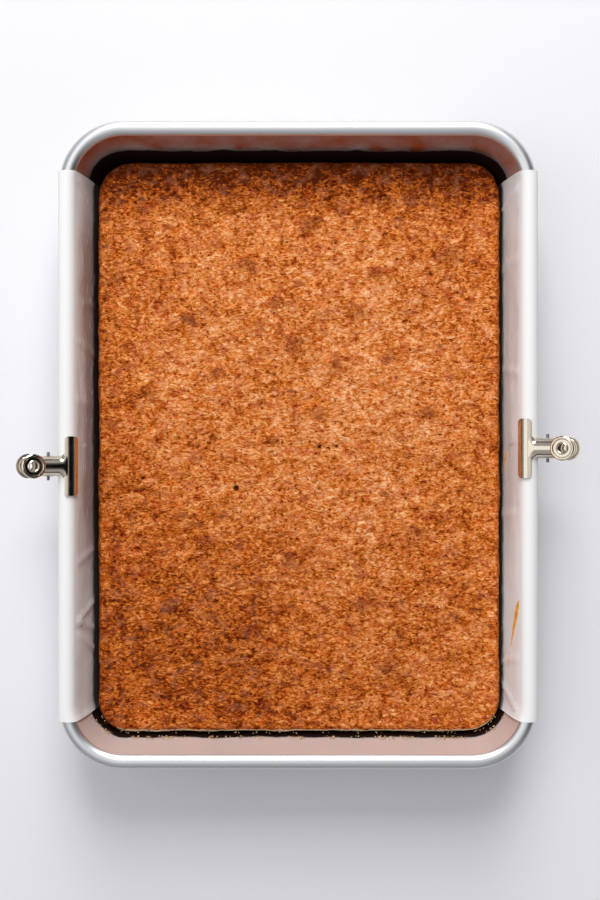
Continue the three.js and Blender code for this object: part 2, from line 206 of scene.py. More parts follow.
# Satin aluminium: clean and silvery on the rim and outside. Inside, baked-on fat has left a thin
# mauve film, its tint partly a painted reflection of the cake. Down where the batter stood it is
# painted nearly black as the shadow in the gap beside the cake. Higher up the far wall, which faces
# away from the light, it is painted darker brown as shade and as a reflection of the cake. The
# sheet's drawing left faint lines round the walls.
CLEAN_METAL = linear("#d9dadb")
# A baked-on film whose mauve tint is partly a painted reflection of the cake.
BAKED_FILM_AND_CAKE_REFLECTION = linear("#c9afa6")
# Painted shade and painted reflection of the cake on the far wall, which faces away from the light.
FAR_WALL_PAINTED_SHADE = linear("#a9562c")
# Painted shadow in the gap beside the cake, below the cake's top.
GAP_PAINTED_SHADOW = linear("#1a0803")
DRAWN_LINE = (30 * MM, 30 * MM, 0.7 * MM)
STAIN_SIZE = 14 * MM
BATTER_LINE = 32 * MM
# The far end, in painted shade, where the painted gap shadow also reaches higher.
SHADED_FAR_END = (124 * MM, 146 * MM)
SHADED_FAR_END_RISE = 4.5 * MM
LINE_WANDER = 6 * MM
LINE_BLUR = (1.6 * MM, 5 * MM)
aluminium, tree, shader, place = new_material("satin_aluminium", {"Specular IOR Level": 0.04})
drawn = add(tree, "ShaderNodeMapping", {"Vector": place, "Scale": [1 / s for s in DRAWN_LINE]})
lines = add(tree, "ShaderNodeTexNoise", {"Vector": drawn, "Scale": 1.0, "Detail": 3.0})
stain = add(tree, "ShaderNodeTexNoise", {"Vector": place, "Scale": 1 / STAIN_SIZE, "Detail": 5.0})
inside = add(tree, "ShaderNodeAttribute", attribute_name="inside").outputs["Fac"]
patchy = add(tree, "ShaderNodeMapRange", {"Value": stain, 1: 0.25, 2: 0.7, 3: 0.6, 4: 1.0})
thin = add(tree, "ShaderNodeMath", {0: inside, 1: patchy}, operation="MULTIPLY")
spot = add(tree, "ShaderNodeSeparateXYZ", {"Vector": place}).outputs
# Painted shade on the far end's walls, from none to full over this stretch.
shaded_far = add(tree, "ShaderNodeMapRange", {"Value": spot["Y"], 1: SHADED_FAR_END[0], 2: SHADED_FAR_END[1]})
even = BATTER_LINE + 0.75 * LINE_WANDER
ragged = add(tree, "ShaderNodeMath", {0: stain, 1: -LINE_WANDER, 2: even}, operation="MULTIPLY_ADD")
line = add(tree, "ShaderNodeMath", {0: shaded_far, 1: SHADED_FAR_END_RISE, 2: ragged}, operation="MULTIPLY_ADD")
blur = add(tree, "ShaderNodeMath", {0: shaded_far, 1: LINE_BLUR[1], 2: LINE_BLUR[0]}, operation="MULTIPLY_ADD")
over = add(tree, "ShaderNodeMath", {0: spot["Z"], 1: line}, operation="SUBTRACT")
rise = add(tree, "ShaderNodeMath", {0: over, 1: blur}, operation="DIVIDE")
# Painted shadow in the gap: nearly black and barely metallic below the cake's top, with a ragged edge.
gap_shadow = add(tree, "ShaderNodeMapRange", {"Value": rise, 1: -0.5, 2: 0.5, 3: 0.997, 4: 0.0})
thick = add(tree, "ShaderNodeMath", {0: inside, 1: gap_shadow}, operation="MULTIPLY")
film_and_shadow = add(tree, "ShaderNodeMath", {0: thin, 1: thick}, operation="MAXIMUM")
fat_and_painted_shade = BAKED_FILM_AND_CAKE_REFLECTION
for share, upper in ((shaded_far, FAR_WALL_PAINTED_SHADE), (gap_shadow, GAP_PAINTED_SHADOW)):
    fat_and_painted_shade = add(tree, "ShaderNodeMix", {0: share, 6: fat_and_painted_shade, 7: upper}, data_type="RGBA").outputs[2]
colour = add(tree, "ShaderNodeMix", {0: film_and_shadow, 6: CLEAN_METAL, 7: fat_and_painted_shade}, data_type="RGBA").outputs[2]
matt = add(tree, "ShaderNodeMath", {0: film_and_shadow, 1: -0.9, 2: 1.0}, operation="MULTIPLY_ADD")
bare = add(tree, "ShaderNodeMath", {0: matt, 1: thick}, operation="SUBTRACT", use_clamp=True)
satin = add(tree, "ShaderNodeMapRange", {"Value": lines, 1: 0.3, 2: 0.7, 3: 0.34, 4: 0.44})
filmy = add(tree, "ShaderNodeMath", {0: inside, 1: 0.14, 2: satin}, operation="MULTIPLY_ADD")
rough = add(tree, "ShaderNodeMath", {0: gap_shadow, 1: 0.3, 2: filmy}, operation="MULTIPLY_ADD")
relief = add(tree, "ShaderNodeBump", {"Height": lines, "Strength": 0.2, "Distance": 0.05 * MM})
dress(tree, shader, Base_Color=colour, Metallic=bare, Roughness=rough, Normal=relief)

tree, given = new_tree("rolled_rim_pan", Width=0.2, Length=0.3, Corner=0.03, Foot=0.03, Sheet=0.001)
twice = add(tree, "ShaderNodeMath", {0: given["Foot"], 1: 2.0}, operation="MULTIPLY")
foot_sizes = []
for side, take in (("Width", twice), ("Length", twice), ("Corner", given["Foot"])):
    foot_sizes.append(add(tree, "ShaderNodeMath", {0: given[side], 1: take}, operation="SUBTRACT"))
paths = []
for width, length, corner in ([given[side] for side in ("Width", "Length", "Corner")], foot_sizes):
    path = add(tree, "GeometryNodeCurvePrimitiveQuadrilateral", {0: width, 1: length})
    turned = {"Curve": path, "Count": 24, "Radius": corner}
    paths.append(add(tree, "GeometryNodeFilletCurve", turned, mode="POLY"))
round_path, round_base = paths
section = add(tree, "GeometryNodeMeshToCurve", {"Mesh": given["Geometry"]})
walls = add(tree, "GeometryNodeCurveToMesh", {"Curve": round_path, "Profile Curve": section})
plate = add(tree, "GeometryNodeFillCurve", {"Curve": round_base}, mode="NGONS")
raised = add(tree, "ShaderNodeCombineXYZ", {"Z": given["Sheet"]})
upper_plate = add(tree, "GeometryNodeTransform", {"Geometry": plate, "Translation": raised})
together = add(tree, "GeometryNodeJoinGeometry")
for part in (walls, plate, upper_plate):
    tree.links.new(part.outputs[0], together.inputs[0])
closed = add(tree, "GeometryNodeMergeByDistance", {"Geometry": together, "Distance": 0.01 * MM})
end_tree(tree, closed, aluminium)

inner, outer = pan_section()
outline = [(-inset, -height, 0) for inset, height in inner + outer]
joins = [(i, i + 1) for i in range(len(outline) - 1)]
pan = new_piece("baking_pan", outline, [], joins)
lined = [float(inset > 1.9 * BEAD_RADIUS) for inset, _ in inner]
note_points(pan, inside=lined + [0.0] * len(outer))
grow(pan, tree, Width=2 * pan_half.x, Length=2 * pan_half.y, Corner=RIM_CORNER, Foot=bend_inset,
    Sheet=SHEET)
smooth(pan, 50)
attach(pan, "pan_and_cake")
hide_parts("pan")

# ---------------------------------------------------------------- the parchment
# One sheet of silicone baking parchment, laid across the pan before the batter went in. It runs
# under the cake, up both long walls and over the rims, and the clips tuck its hanging edges in.
# Each face is a grid of the pan's section at many places along the pan, lifted by its wrinkles.
PAPER_REST = 0.32 * MM
PAPER = 0.2 * MM
PAPER_CREEP = 0.1
FLAP_DROP = 20 * MM
FLAP_FLARE = 1.2 * MM
TUCK_FULL = 16.5 * MM
TUCK_NONE = 38.5 * MM
SHEET_SLIP = 0.6 * MM
TUCK_TURN = math.radians(-108)
TUCK_DROP = 12 * MM
ROW = 1.8 * MM
CRINKLE_LIFT, CRINKLE_SIZE = 0.25 * MM, 11 * MM
CREASE_LIFT, CREASE_SIZE = 0.14 * MM, 4 * MM
FLAP_WAVE, FLAP_WAVE_SIZE = 0.5 * MM, 26 * MM

paper_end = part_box("parchment")[1].y
pin_at = {side: Vector(joint["pos_m"]) for side in ("left", "right")
          for joint in frame["record"]["behaviour"]["joints"] if joint["name"].startswith(side)}

# Folds that run up a wall: side, place along the pan, slant, half width and height in millimetres,
# and the shares of the wall, from foot to rim, between which each one stands.
FOLDS = [(-1, -112, 0.9, 2.0, 1.5, 0.5, 1.0), (-1, -101, 0.6, 1.8, 1.6, 0.5, 1.0),
    (-1, -86, -0.5, 2.4, 1.0, 0.5, 0.9), (-1, -58, -0.3, 3.2, 0.8, 0.55, 0.9),
    (-1, 22, 0.2, 4.0, 0.6, 0.55, 1.0), (-1, 51, 0.35, 2.6, 0.8, 0.5, 0.95),
    (-1, 78, -0.2, 3.6, 0.6, 0.55, 0.8), (-1, 132, 0.6, 1.8, 1.3, 0.6, 1.0),
    (1, -130, -0.8, 2.2, 1.3, 0.5, 1.0), (1, -119, 0.5, 2.0, 0.9, 0.5, 1.0),
    (1, -40, 0.3, 4.2, 0.6, 0.5, 0.9), (1, 44, -0.4, 3.0, 0.7, 0.5, 1.0),
    (1, 96, 0.25, 3.8, 0.6, 0.5, 0.9), (1, 129, 0.5, 2.4, 1.1, 0.5, 1.0)]


def ease(value, start, end):
    """0 up to start, 1 past end, and a smooth rise between."""
    part = np.clip((value - start) / (end - start), 0, 1)
    return part * part * (3 - 2 * part)


def noise_at(x, y, z, size):
    """Smooth noise from -1 to 1 whose lumps are about one size across."""
    return noise.noise(Vector((x / size, y / size, z / size)))


def lift_at(side, y, share):
    """How far the paper's wrinkles stand off the wall at a share of its height."""
    crinkle = 1 + noise_at(side, y, share * 30 * MM, CRINKLE_SIZE)
    crease = 1 + noise_at(side + 5, y, share * 40 * MM, CREASE_SIZE)
    lift = CRINKLE_LIFT * crinkle * ease(share, 0.45, 0.75)
    lift += CREASE_LIFT * crease * ease(share, 0.4, 0.7)
    for fold_side, middle, slant, half, height, foot, top in FOLDS:
        if fold_side == side:
            away = abs(y - (middle + slant * (share - 0.5) * 30) * MM) / (half * MM)
            stands = ease(share, foot - 0.15, foot + 0.1) * (1 - ease(share, top - 0.1, top + 0.2))
            lift += height * MM * stands * max(0.0, 1 - away) ** 1.5
    return lift * (1 - ease(share, 0.9, 1.05))


def flap_point(rise, part, tuck, wave):
    """A point on the hanging edge, which is free, or tucked under the bead behind the jaw."""
    free = (-rise - FLAP_FLARE * part - wave * part, bead_height - FLAP_DROP * part)
    turned = min(part / 0.5, 1)
    under = bead_point(rise, TUCK_TURN * turned)
    if part > 0.5:
        drop = (part - 0.5) / 0.5 * TUCK_DROP
        lip = bead_height - BEAD_RADIUS - 0.2 * MM - rise
        outside = wall_inset(lip) - SHEET / math.cos(WALL_LEAN)
        under = (outside - 0.3 * MM - rise + 0.03 * drop, lip - drop)
    return [a + (b - a) * tuck for a, b in zip(free, under)]


def paper_half(side, y, extra):
    """Half of one face at a place along the pan: (inset, height, straightness, share of wall)."""
    rest = PAPER_REST + extra
    points = [(*bend_point(rest, turn), 0, 0) for turn in np.linspace(-math.pi / 2, -WALL_LEAN, 7)]
    for share in np.linspace(0, 1, 17)[1:-1]:
        rise = rest + lift_at(side, y, share)
        foot = bend_point(rise, -WALL_LEAN)
        top = bead_point(rise, math.pi - WALL_LEAN)
        points.append((*[a + (b - a) * share for a, b in zip(foot, top)], 0, share))
    for turn in np.linspace(math.pi - WALL_LEAN, 0, 18):
        points.append((*bead_point(rest, turn), max(0, math.cos(turn)), 0))
    tuck = 1 - ease(abs(y - pin_at["left" if side < 0 else "right"].y), TUCK_FULL, TUCK_NONE)
    wave = FLAP_WAVE * noise_at(side + 9, y, 0, FLAP_WAVE_SIZE)
    for part in np.linspace(0, 1, 15)[1:]:
        points.append((*flap_point(rest, part, tuck, wave), 1, 0))
    return points


def paper_point(side, y, inset, height, straight):
    """A point of the sheet: it follows the corner's curve inside the rim and is straight outside."""
    if inset > BEAD_RADIUS:
        y = math.copysign(max(0.0, abs(y) - PAPER_CREEP * max(0.0, pan_high.z - height)), y)
    corner = max(RIM_CORNER - inset, 0.0)
    past = max(0.0, abs(y) - (pan_half.y - RIM_CORNER))
    cut = corner - math.sqrt(max(0.0, corner**2 - past**2))
    return side * (pan_half.x - inset - cut * (1 - straight)), y, height


def close_sheet(name, upper, lower):
    """A thin closed sheet from two grids of points with the same rows."""
    rows, count = len(upper), len(upper[0])
    under = rows * count
    faces = []
    for row in range(rows - 1):
        for i in range(row * count, row * count + count - 1):
            quad = (i, i + 1, i + count + 1, i + count)
            faces.append(quad)
            faces.append(tuple(under + k for k in reversed(quad)))
    border = [*range(count), *range(2 * count - 1, under, count)]
    border += [*range(under - 2, under - count - 1, -1), *range(under - 2 * count, 0, -count)]
    for i, at in enumerate(border):
        then = border[(i + 1) % len(border)]
        faces.append((then, at, under + at, under + then))
    points = [point for row in [*upper, *lower] for point in row]
    return new_piece(name, points, faces)


def paper_grid(extra):
    """One face of the sheet, as rows across the pan, with each point's share of the wall."""
    stations = np.linspace(-paper_end, paper_end, 2 * round(paper_end / ROW) + 1) - SHEET_SLIP
    grid, shares = [], []
    for y in stations:
        left, right = paper_half(-1, y, extra)[::-1], paper_half(1, y, extra)
        grid.append([paper_point(-1, y, *p[:3]) for p in left]
                    + [paper_point(1, y, *p[:3]) for p in right])
        shares += [p[3] for p in left + right]
    return grid, shares


lower_face, _ = paper_grid(0)
upper_face, wall_shares = paper_grid(PAPER)
parchment = close_sheet("baking_parchment", upper_face, lower_face)
note_points(parchment, on_wall=[min(1.0, 4 * s) for s in wall_shares] * 2)

# White silicone parchment: matt and faintly fibrous where dry. On the walls, fat from the cake has
# soaked in, so it turns half clear and glossy, and mauve brown, partly grease and partly painted
# shade and painted reflection of the cake, most of all low down, away from the sheet's ends and on
# the left wall, which faces away from the light. Where the batter stood it is painted almost black
# as the shadow in the gap beside the cake, and fine creases are painted white as glints.
DRY_PAPER = linear("#f4f3f1")
# Real grease with painted shade and painted reflection of the cake.
GREASE_AND_SHADE_PAPER = linear("#ab978f")
# Painted shadow in the gap beside the cake.
GAP_SHADOW_PAPER = linear("#1f0e06")
FIBRE = 0.6 * MM
WRINKLE = (0.9 * MM, 8 * MM, 0.9 * MM)
GREASE_EDGE = (24 * MM, 60 * MM, 10 * MM)
# Where the grease and its painted shade spread, along and across the pan; across, the left wall, which
# faces away from the light, gets the most.
GREASE_AND_SHADE_SPREAD = (("Y", -80 * MM, -35 * MM, 0.3, 1.0), ("Y", 105 * MM, 140 * MM, 1.0, 0.3),
    ("X", -60 * MM, 60 * MM, 1.0, 0.55))
paper, tree, shader, place = new_material("silicone_parchment", {"Specular IOR Level": 0.4})
fibre = add(tree, "ShaderNodeTexNoise", {"Vector": place, "Scale": 1 / FIBRE, "Detail": 3.0})
long = add(tree, "ShaderNodeMapping", {"Vector": place, "Scale": [1 / s for s in WRINKLE]})
wrinkle = add(tree, "ShaderNodeTexNoise", {"Vector": long, "Scale": 1.0, "Distortion": 0.6})
broad = add(tree, "ShaderNodeMapping", {"Vector": place, "Scale": [1 / s for s in GREASE_EDGE]})
spread = add(tree, "ShaderNodeTexNoise", {"Vector": broad, "Scale": 1.0, "Detail": 4.0})
spot = add(tree, "ShaderNodeSeparateXYZ", {"Vector": place}).outputs
height = spot["Z"]
low = add(tree, "ShaderNodeMapRange", {"Value": height, 1: 33 * MM, 2: 48 * MM, 3: 0.6, 4: 0.15})
wavy = add(tree, "ShaderNodeMath", {0: spread, 1: low}, operation="ADD")
soaked_and_shaded = add(tree, "ShaderNodeMapRange", {"Value": wavy, 1: 0.5, 2: 1.0, 3: 0.0, 4: 1.0})
wall = add(tree, "ShaderNodeAttribute", attribute_name="on_wall").outputs["Fac"]
greased_and_shaded = add(tree, "ShaderNodeMath", {0: soaked_and_shaded, 1: wall}, operation="MULTIPLY")
most = 1.0
for axis, start, end, first, last in GREASE_AND_SHADE_SPREAD:
    part = {"Value": spot[axis], 1: start, 2: end, 3: first, 4: last}
    part = add(tree, "ShaderNodeMapRange", part)
    most = add(tree, "ShaderNodeMath", {0: most, 1: part}, operation="MULTIPLY")
# Grease with its painted shade and painted reflection of the cake, on the walls.
grease_and_shade = add(tree, "ShaderNodeMath", {0: greased_and_shaded, 1: most}, operation="MULTIPLY")
# Sparse wrinkle ridges: raised as creases, and on the walls painted white as glints.
ridge = add(tree, "ShaderNodeMapRange", {"Value": wrinkle, 1: 0.6, 2: 0.72, 3: 0.0, 4: 0.75})
creases_and_glints = add(tree, "ShaderNodeMath", {0: ridge, 1: wall}, operation="MULTIPLY")
edge = add(tree, "ShaderNodeMath", {0: wrinkle, 1: 5 * MM, 2: height}, operation="MULTIPLY_ADD")
# Painted shadow in the gap: the walls' paper turns almost black below the cake's top.
below = add(tree, "ShaderNodeMapRange", {"Value": edge, 1: 31 * MM, 2: 34 * MM, 3: 0.94, 4: 0.0})
paper_gap_shadow = add(tree, "ShaderNodeMath", {0: below, 1: wall}, operation="MULTIPLY")
colour = DRY_PAPER
for share, upper in ((grease_and_shade, GREASE_AND_SHADE_PAPER), (creases_and_glints, DRY_PAPER), (paper_gap_shadow, GAP_SHADOW_PAPER)):
    colour = add(tree, "ShaderNodeMix", {0: share, 6: colour, 7: upper}, data_type="RGBA").outputs[2]
rough = add(tree, "ShaderNodeMapRange", {"Value": grease_and_shade, 1: 0.0, 2: 1.0, 3: 0.6, 4: 0.28})
surface = add(tree, "ShaderNodeMath", {0: fibre, 1: 0.2, 2: creases_and_glints}, operation="MULTIPLY_ADD")
relief = add(tree, "ShaderNodeBump", {"Height": surface, "Strength": 0.6, "Distance": 0.3 * MM})
dress(tree, shader, Base_Color=colour, Roughness=rough, Normal=relief)
parchment.data.materials.append(paper)
smooth(parchment, 60)
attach(parchment, "pan_and_cake")
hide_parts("parchment")

# ---------------------------------------------------------------- the cake
# A plain sponge baked in the pan, uncut, its top crust well browned and full of small open pores.
# It has shrunk a little off the walls. The top is a fine grid, raised and pitted by noise, and
# rings carry it over the rounded edge and down the leaning sides.
CAKE_CORNER = 18 * MM
EDGE_ROUND = 4 * MM
SHOULDER = 29 * MM
FOOT_ROUND = 8 * MM
CROWN = 2.4 * MM
COLUMNS = 236
SIDE_ROWS = 272
CORNER_ROWS = 22
PIT_COUNT = 200
PIT_SIZES = (0.6 * MM, 1.1 * MM)
OUTLINE_WANDER, OUTLINE_SIZE = 0.7 * MM, 17 * MM
FRAY, FRAY_SIZE = 0.35 * MM, 4 * MM

cake_low, cake_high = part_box("cake")
cake_middle = (cake_low + cake_high) / 2
cake_half = (cake_high - cake_low) / 2 - Vector((0.5 * MM, 0, 0))

# Places on the crust, from the cake's middle: a few burst bubbles, and blisters that browned more.
BURST = [(11, 0, 1.5), (15.5, -0.6, 1.1), (20, 0.2, 1.3), (-33.4, -22.2, 1.7), (-83.5, -16.8, 1.4),
         (-85.5, -19.5, 1.0), (-13, 39, 1.1), (52, 37, 1.2), (57, -28, 1.1), (-70, -97, 1.2)]
BLISTERS = [(31, 74, 7), (41, 94, 6), (-2, 55, 8), (20, 45, 7), (-58, 68, 6), (-12, 78, 6), (68, 20, 6),
    (-30, 98, 7), (5, 120, 9), (62, -44, 6), (-68, -84, 7), (-28, -98, 7), (48, -118, 8), (-5, -60, 7),
    (-80, 30, 6), (80, 104, 7), (-44, 40, 6), (48, 50, 5), (10, 20, 6), (-50, -50, 6), (34, -84, 7),
    (-14, 4, 5)]
BLISTER_RISE = 1.0 * MM
# The crust's swells as (height, size across), and its patches as (browning, size across).
CRUST_SWELLS = [(0.5 * MM, 48 * MM), (0.45 * MM, 19 * MM), (0.3 * MM, 7 * MM)]
SMALL_LUMP, SMALL_LUMP_SIZE = 0.14 * MM, 2.6 * MM
BROWNING_SWELLS = [(0.08, 60 * MM), (0.11, 15 * MM)]
SMALL_BROWNING, SMALL_BROWNING_SIZE = 0.2, 5 * MM


def grid_rows():
    """Each row of the top grid: its place along the cake, its half width and its outward slope."""
    inset_half = Vector((cake_half.x - EDGE_ROUND, cake_half.y - EDGE_ROUND))
    corner = CAKE_CORNER - EDGE_ROUND
    straight = inset_half.y - corner
    rows = [(y, inset_half.x, 0.0) for y in np.linspace(-straight, straight, SIDE_ROWS)]
    for turn in np.linspace(0, math.pi / 2, CORNER_ROWS + 1)[1:]:
        width = inset_half.x - corner + corner * math.cos(turn)
        y = straight + corner * math.sin(turn)
        rows.insert(0, (-y, width, -turn))
        rows.append((y, width, turn))
    return rows


def blistered(x, y):
    """How much a place from the cake's middle lies on a blister, 0 to 1."""
    share = 0.0
    for middle_x, middle_y, size in BLISTERS:
        away = math.hypot((x - middle_x * MM) * 0.8, y - middle_y * MM) / (size * MM)
        if away < 1.3:
            share = max(share, 1 - ease(away + 0.35 * noise_at(x, y, 0.8, 3.5 * MM), 0.1, 1.1))
    return share


def crust_height(x, y):
    """The top's height at a place from the cake's middle, without its pits."""
    across, along = x / cake_half.x, y / cake_half.y
    crown = CROWN * (1 - abs(across) ** 4) * (1 - abs(along) ** 4)
    layers = zip((0.1, 0.2, 0.3), CRUST_SWELLS)
    swell = sum(rise * noise_at(x, y, layer, size) for layer, (rise, size) in layers)
    lumps = SMALL_LUMP * noise_at(x * 0.6, y, 0.4, SMALL_LUMP_SIZE)
    return SHOULDER + EDGE_ROUND + crown + swell + lumps + BLISTER_RISE * blistered(x, y)


def crust_points():
    """The top grid's points, and how deep each lies below the smooth crust."""
    rows = grid_rows()
    places = np.array([(u * width, y) for y, width, _ in rows for u in np.linspace(-1, 1, COLUMNS + 1)])
    heights = np.array([crust_height(x, y) for x, y in places])
    draw = np.random.default_rng(41)
    spots = draw.uniform(-1, 1, (PIT_COUNT, 2)) * (cake_half.x - 4 * MM, cake_half.y - 4 * MM)
    sizes = draw.uniform(*PIT_SIZES, PIT_COUNT)
    pits = [(x, y, size) for (x, y), size in zip(spots, sizes)]
    pits += [(x * MM, y * MM, size * MM) for x, y, size in BURST]
    depth = np.zeros(len(places))
    for x, y, size in pits:
        away = ((places[:, 0] - x) * 0.75) ** 2 + (places[:, 1] - y) ** 2
        depth += 0.9 * size * np.clip(1 - away / size**2, 0, 1) ** 2
    points = np.column_stack([places, heights - depth])
    return rows, points, depth


def browning_at(x, y):
    """How dark the crust is at a place, about 0.5 on average: its baking, with painted shade and light.
    """
    layers = zip((0.5, 0.6), BROWNING_SWELLS)
    brown = 0.45 + sum(share * noise_at(x, y, layer, size) for layer, (share, size) in layers)
    brown += SMALL_BROWNING * noise_at(x * 0.7, y, 0.7, SMALL_BROWNING_SIZE)
    # Painted shade, darker towards the left and near side.
    brown += 0.15 * ease(-x - y * 0.5, 10 * MM, 140 * MM)
    # A painted pool of light, lighter round a spot a little past the middle towards the far side.
    brown += 0.12 * ease(math.hypot(x, y - 30 * MM), 60 * MM, 130 * MM)
    # The far wall's painted shadow, darker along the far edge.
    brown += 0.48 * ease(y, cake_half.y - 34 * MM, cake_half.y - 2 * MM)
    return brown + 0.12 * blistered(x, y) * (1 + 1.5 * noise_at(x, y, 0.9, 3.5 * MM))


def side_rings():
    """(inset, height) from the top grid's border over the edge, down the side and under the foot."""
    turns = np.radians([72, 52, 32, 12])
    rings = [(EDGE_ROUND * (1 - math.cos(a)), SHOULDER + EDGE_ROUND * math.sin(a)) for a in turns]
    foot_height = cake_low.z + FOOT_ROUND
    lean = math.tan(WALL_LEAN)
    for height in np.linspace(SHOULDER - 1.5 * MM, foot_height, 4):
        rings.append(((SHOULDER - height) * lean, height))
    foot_inset = (SHOULDER - foot_height) * lean + FOOT_ROUND / math.cos(WALL_LEAN)
    for turn in np.radians([-35, -60, -90]):
        drop = foot_height + FOOT_ROUND * math.sin(turn)
        rings.append((foot_inset - FOOT_ROUND * math.cos(turn), drop))
    return rings


rows, points, depth = crust_points()
count = COLUMNS + 1
faces = [(i, i + 1, i + count + 1, i + count) for row in range(len(rows) - 1)
         for i in range(row * count, row * count + COLUMNS)]
last = (len(rows) - 1) * count
border = [(i, Vector((0, -1))) for i in range(COLUMNS)]
border += [(r * count + COLUMNS, Vector((math.cos(t), math.sin(t))))
           for r, (_, _, t) in enumerate(rows) if r < len(rows) - 1]
border += [(last + i, Vector((0, 1))) for i in range(COLUMNS, 0, -1)]
border += [(r * count, Vector((-math.cos(t), math.sin(t))))
           for r, (_, _, t) in reversed(list(enumerate(rows))) if r > 0]
points = [tuple(point) for point in points]
edge_share = [0.0] * len(points)
bared_share = [0.0] * len(points)
above = [i for i, _ in border]
rings = side_rings()
for level, (inset, height) in enumerate(rings):
    here = []
    for i, outward in border:
        x, y, top = points[i]
        wander = OUTLINE_WANDER * (noise_at(x, y, 0.3, OUTLINE_SIZE) - 0.5)
        fray = FRAY * noise_at(x, y, height, FRAY_SIZE) * (level < 7)
        out = EDGE_ROUND - inset + wander * min(1, level / 3) + fray
        drop = (top - SHOULDER - EDGE_ROUND) * max(0.0, 1 - level / 4)
        here.append(len(points))
        points.append((x + outward.x * out, y + outward.y * out, height + drop))
        edge_share.append(min(1.0, level / 4))
        bared_share.append((level in (1, 2, 3)) * max(0.0, 0.35 * outward.x - outward.y))
    for k, at in enumerate(above):
        then = (k + 1) % len(above)
        faces.append((above[then], at, here[k], here[then]))
    above = here
faces.append(tuple(above))
brown = [browning_at(x, y) for x, y, _ in points]
blister_share = [blistered(x, y) for x, y, _ in points]
points = [(x + cake_middle.x, y + cake_middle.y, z) for x, y, z in points]
cake = new_piece("browned_cake", points, faces)
hollows = list(depth / MM) + [0.0] * (len(points) - len(depth))
note_points(cake, browning=brown, hollow=hollows, edge=edge_share, bared=bared_share,
            blister=blister_share)

# Browned sponge crust: caramelised and faintly glossy, from tan on the ridges of its crumb to deep
# red brown, and red brown on the blisters; its pores and pits are painted dark as the shade inside
# them. The rubbed edge shows the cream crumb beneath.
CRUST_STOPS = [(0.0, linear("#fccfa2")), (0.25, linear("#f0a468")), (0.5, linear("#d6772d")),
    (0.75, linear("#9f4910")), (1.0, linear("#521a04"))]
YELLOW_TINGE = linear("#f6b04e")
RED_TINGE = linear("#c8512a")
ROSY_SKIN = linear("#cf8a66")
BLISTER_SKIN = linear("#8c4630")
# Painted shade inside the pores and inside the pits.
PORE_PAINTED_SHADE = linear("#6a1c06")
PIT_PAINTED_SHADE = linear("#240a02")
SIDE_CRUMB = linear("#7d3f17")
EDGE_CREAM = linear("#f8dcb0")
CARAMEL_GLOSS = linear("#ffc896")
COARSE_GRAIN = (4.8 * MM, 2.8 * MM, 2.8 * MM)
FINE_GRAIN = (2.4 * MM, 1.1 * MM, 1.2 * MM)
GRAIN_BEND = 2.2 * MM
TINGE_SIZE = 6 * MM
CELL = 2.5 * MM
PORE_SPACING = 3.6 * MM
PORE_GATE = 0.68
SWELL_DEPTH = 0.9 * MM
GRAIN_DEPTH = 0.35 * MM
crust, tree, shader, place = new_material("browned_sponge_crust",
    {"Specular IOR Level": 0.12, "Specular Tint": CARAMEL_GLOSS})
grains = []
for size, twist in ((COARSE_GRAIN, 2.2), (FINE_GRAIN, 1.0)):
    along = add(tree, "ShaderNodeMapping", {"Vector": place, "Scale": [1 / s for s in size]})
    looks = {"Vector": along, "Scale": 1.0, "Detail": 3.0, "Roughness": 0.6, "Distortion": twist}
    grains.append(add(tree, "ShaderNodeTexNoise", looks))
coarse, fine = grains
bend = {0: coarse.outputs["Color"], 1: [GRAIN_BEND] * 3, 2: place}
bent = add(tree, "ShaderNodeVectorMath", bend, operation="MULTIPLY_ADD")
cells, pores = [
    add(tree, "ShaderNodeTexVoronoi", {"Vector": bent, "Scale": 1 / size}, voronoi_dimensions="2D")
    for size in (CELL, PORE_SPACING)
]
browning, hollow, blister, edge, bared = [
    add(tree, "ShaderNodeAttribute", attribute_name=name).outputs["Fac"]
    for name in ("browning", "hollow", "blister", "edge", "bared")
]
mounds = add(tree, "ShaderNodeMapRange", {"Value": cells, 1: 0.1, 2: 0.75, 3: 0.62, 4: 0.4})
lumps = add(tree, "ShaderNodeMix", {0: 0.6, 2: mounds, 3: coarse})
grain = add(tree, "ShaderNodeMix", {0: 0.32, 2: lumps, 3: fine})
# Open pores, painted dark as the shade inside them.
chosen = add(tree, "ShaderNodeSeparateColor", {"Color": pores.outputs["Color"]}).outputs[0]
wide = add(tree, "ShaderNodeMapRange", {"Value": chosen, 1: PORE_GATE, 2: 1.0, 3: 0.08, 4: 0.24})
core = add(tree, "ShaderNodeMath", {0: wide, 1: 0.45}, operation="MULTIPLY")
open_pore = add(tree, "ShaderNodeMapRange", {"Value": pores, 1: core, 2: wide, 3: 0.9, 4: 0.0})
gated = add(tree, "ShaderNodeMath", {0: chosen, 1: PORE_GATE}, operation="GREATER_THAN")
pore_shade = add(tree, "ShaderNodeMath", {0: open_pore, 1: gated}, operation="MULTIPLY")
speckle = add(tree, "ShaderNodeMapRange", {"Value": grain, 1: 0.34, 2: 0.66, 3: 0.56, 4: -0.56})
tone = add(tree, "ShaderNodeMath", {0: browning, 1: speckle}, operation="ADD")
skin = add(tree, "ShaderNodeValToRGB", {"Fac": tone}, CRUST_STOPS)
tinge = add(tree, "ShaderNodeTexNoise", {"Vector": place, "Scale": 1 / TINGE_SIZE, "Detail": 4.0})
hues = add(tree, "ShaderNodeSeparateColor", {"Color": tinge.outputs["Color"]}).outputs[1]
raised_skin = add(tree, "ShaderNodeMath", {0: blister, 1: grain}, operation="MULTIPLY")
rubbed = add(tree, "ShaderNodeMath", {0: bared, 1: grain}, operation="MULTIPLY")
shares = []
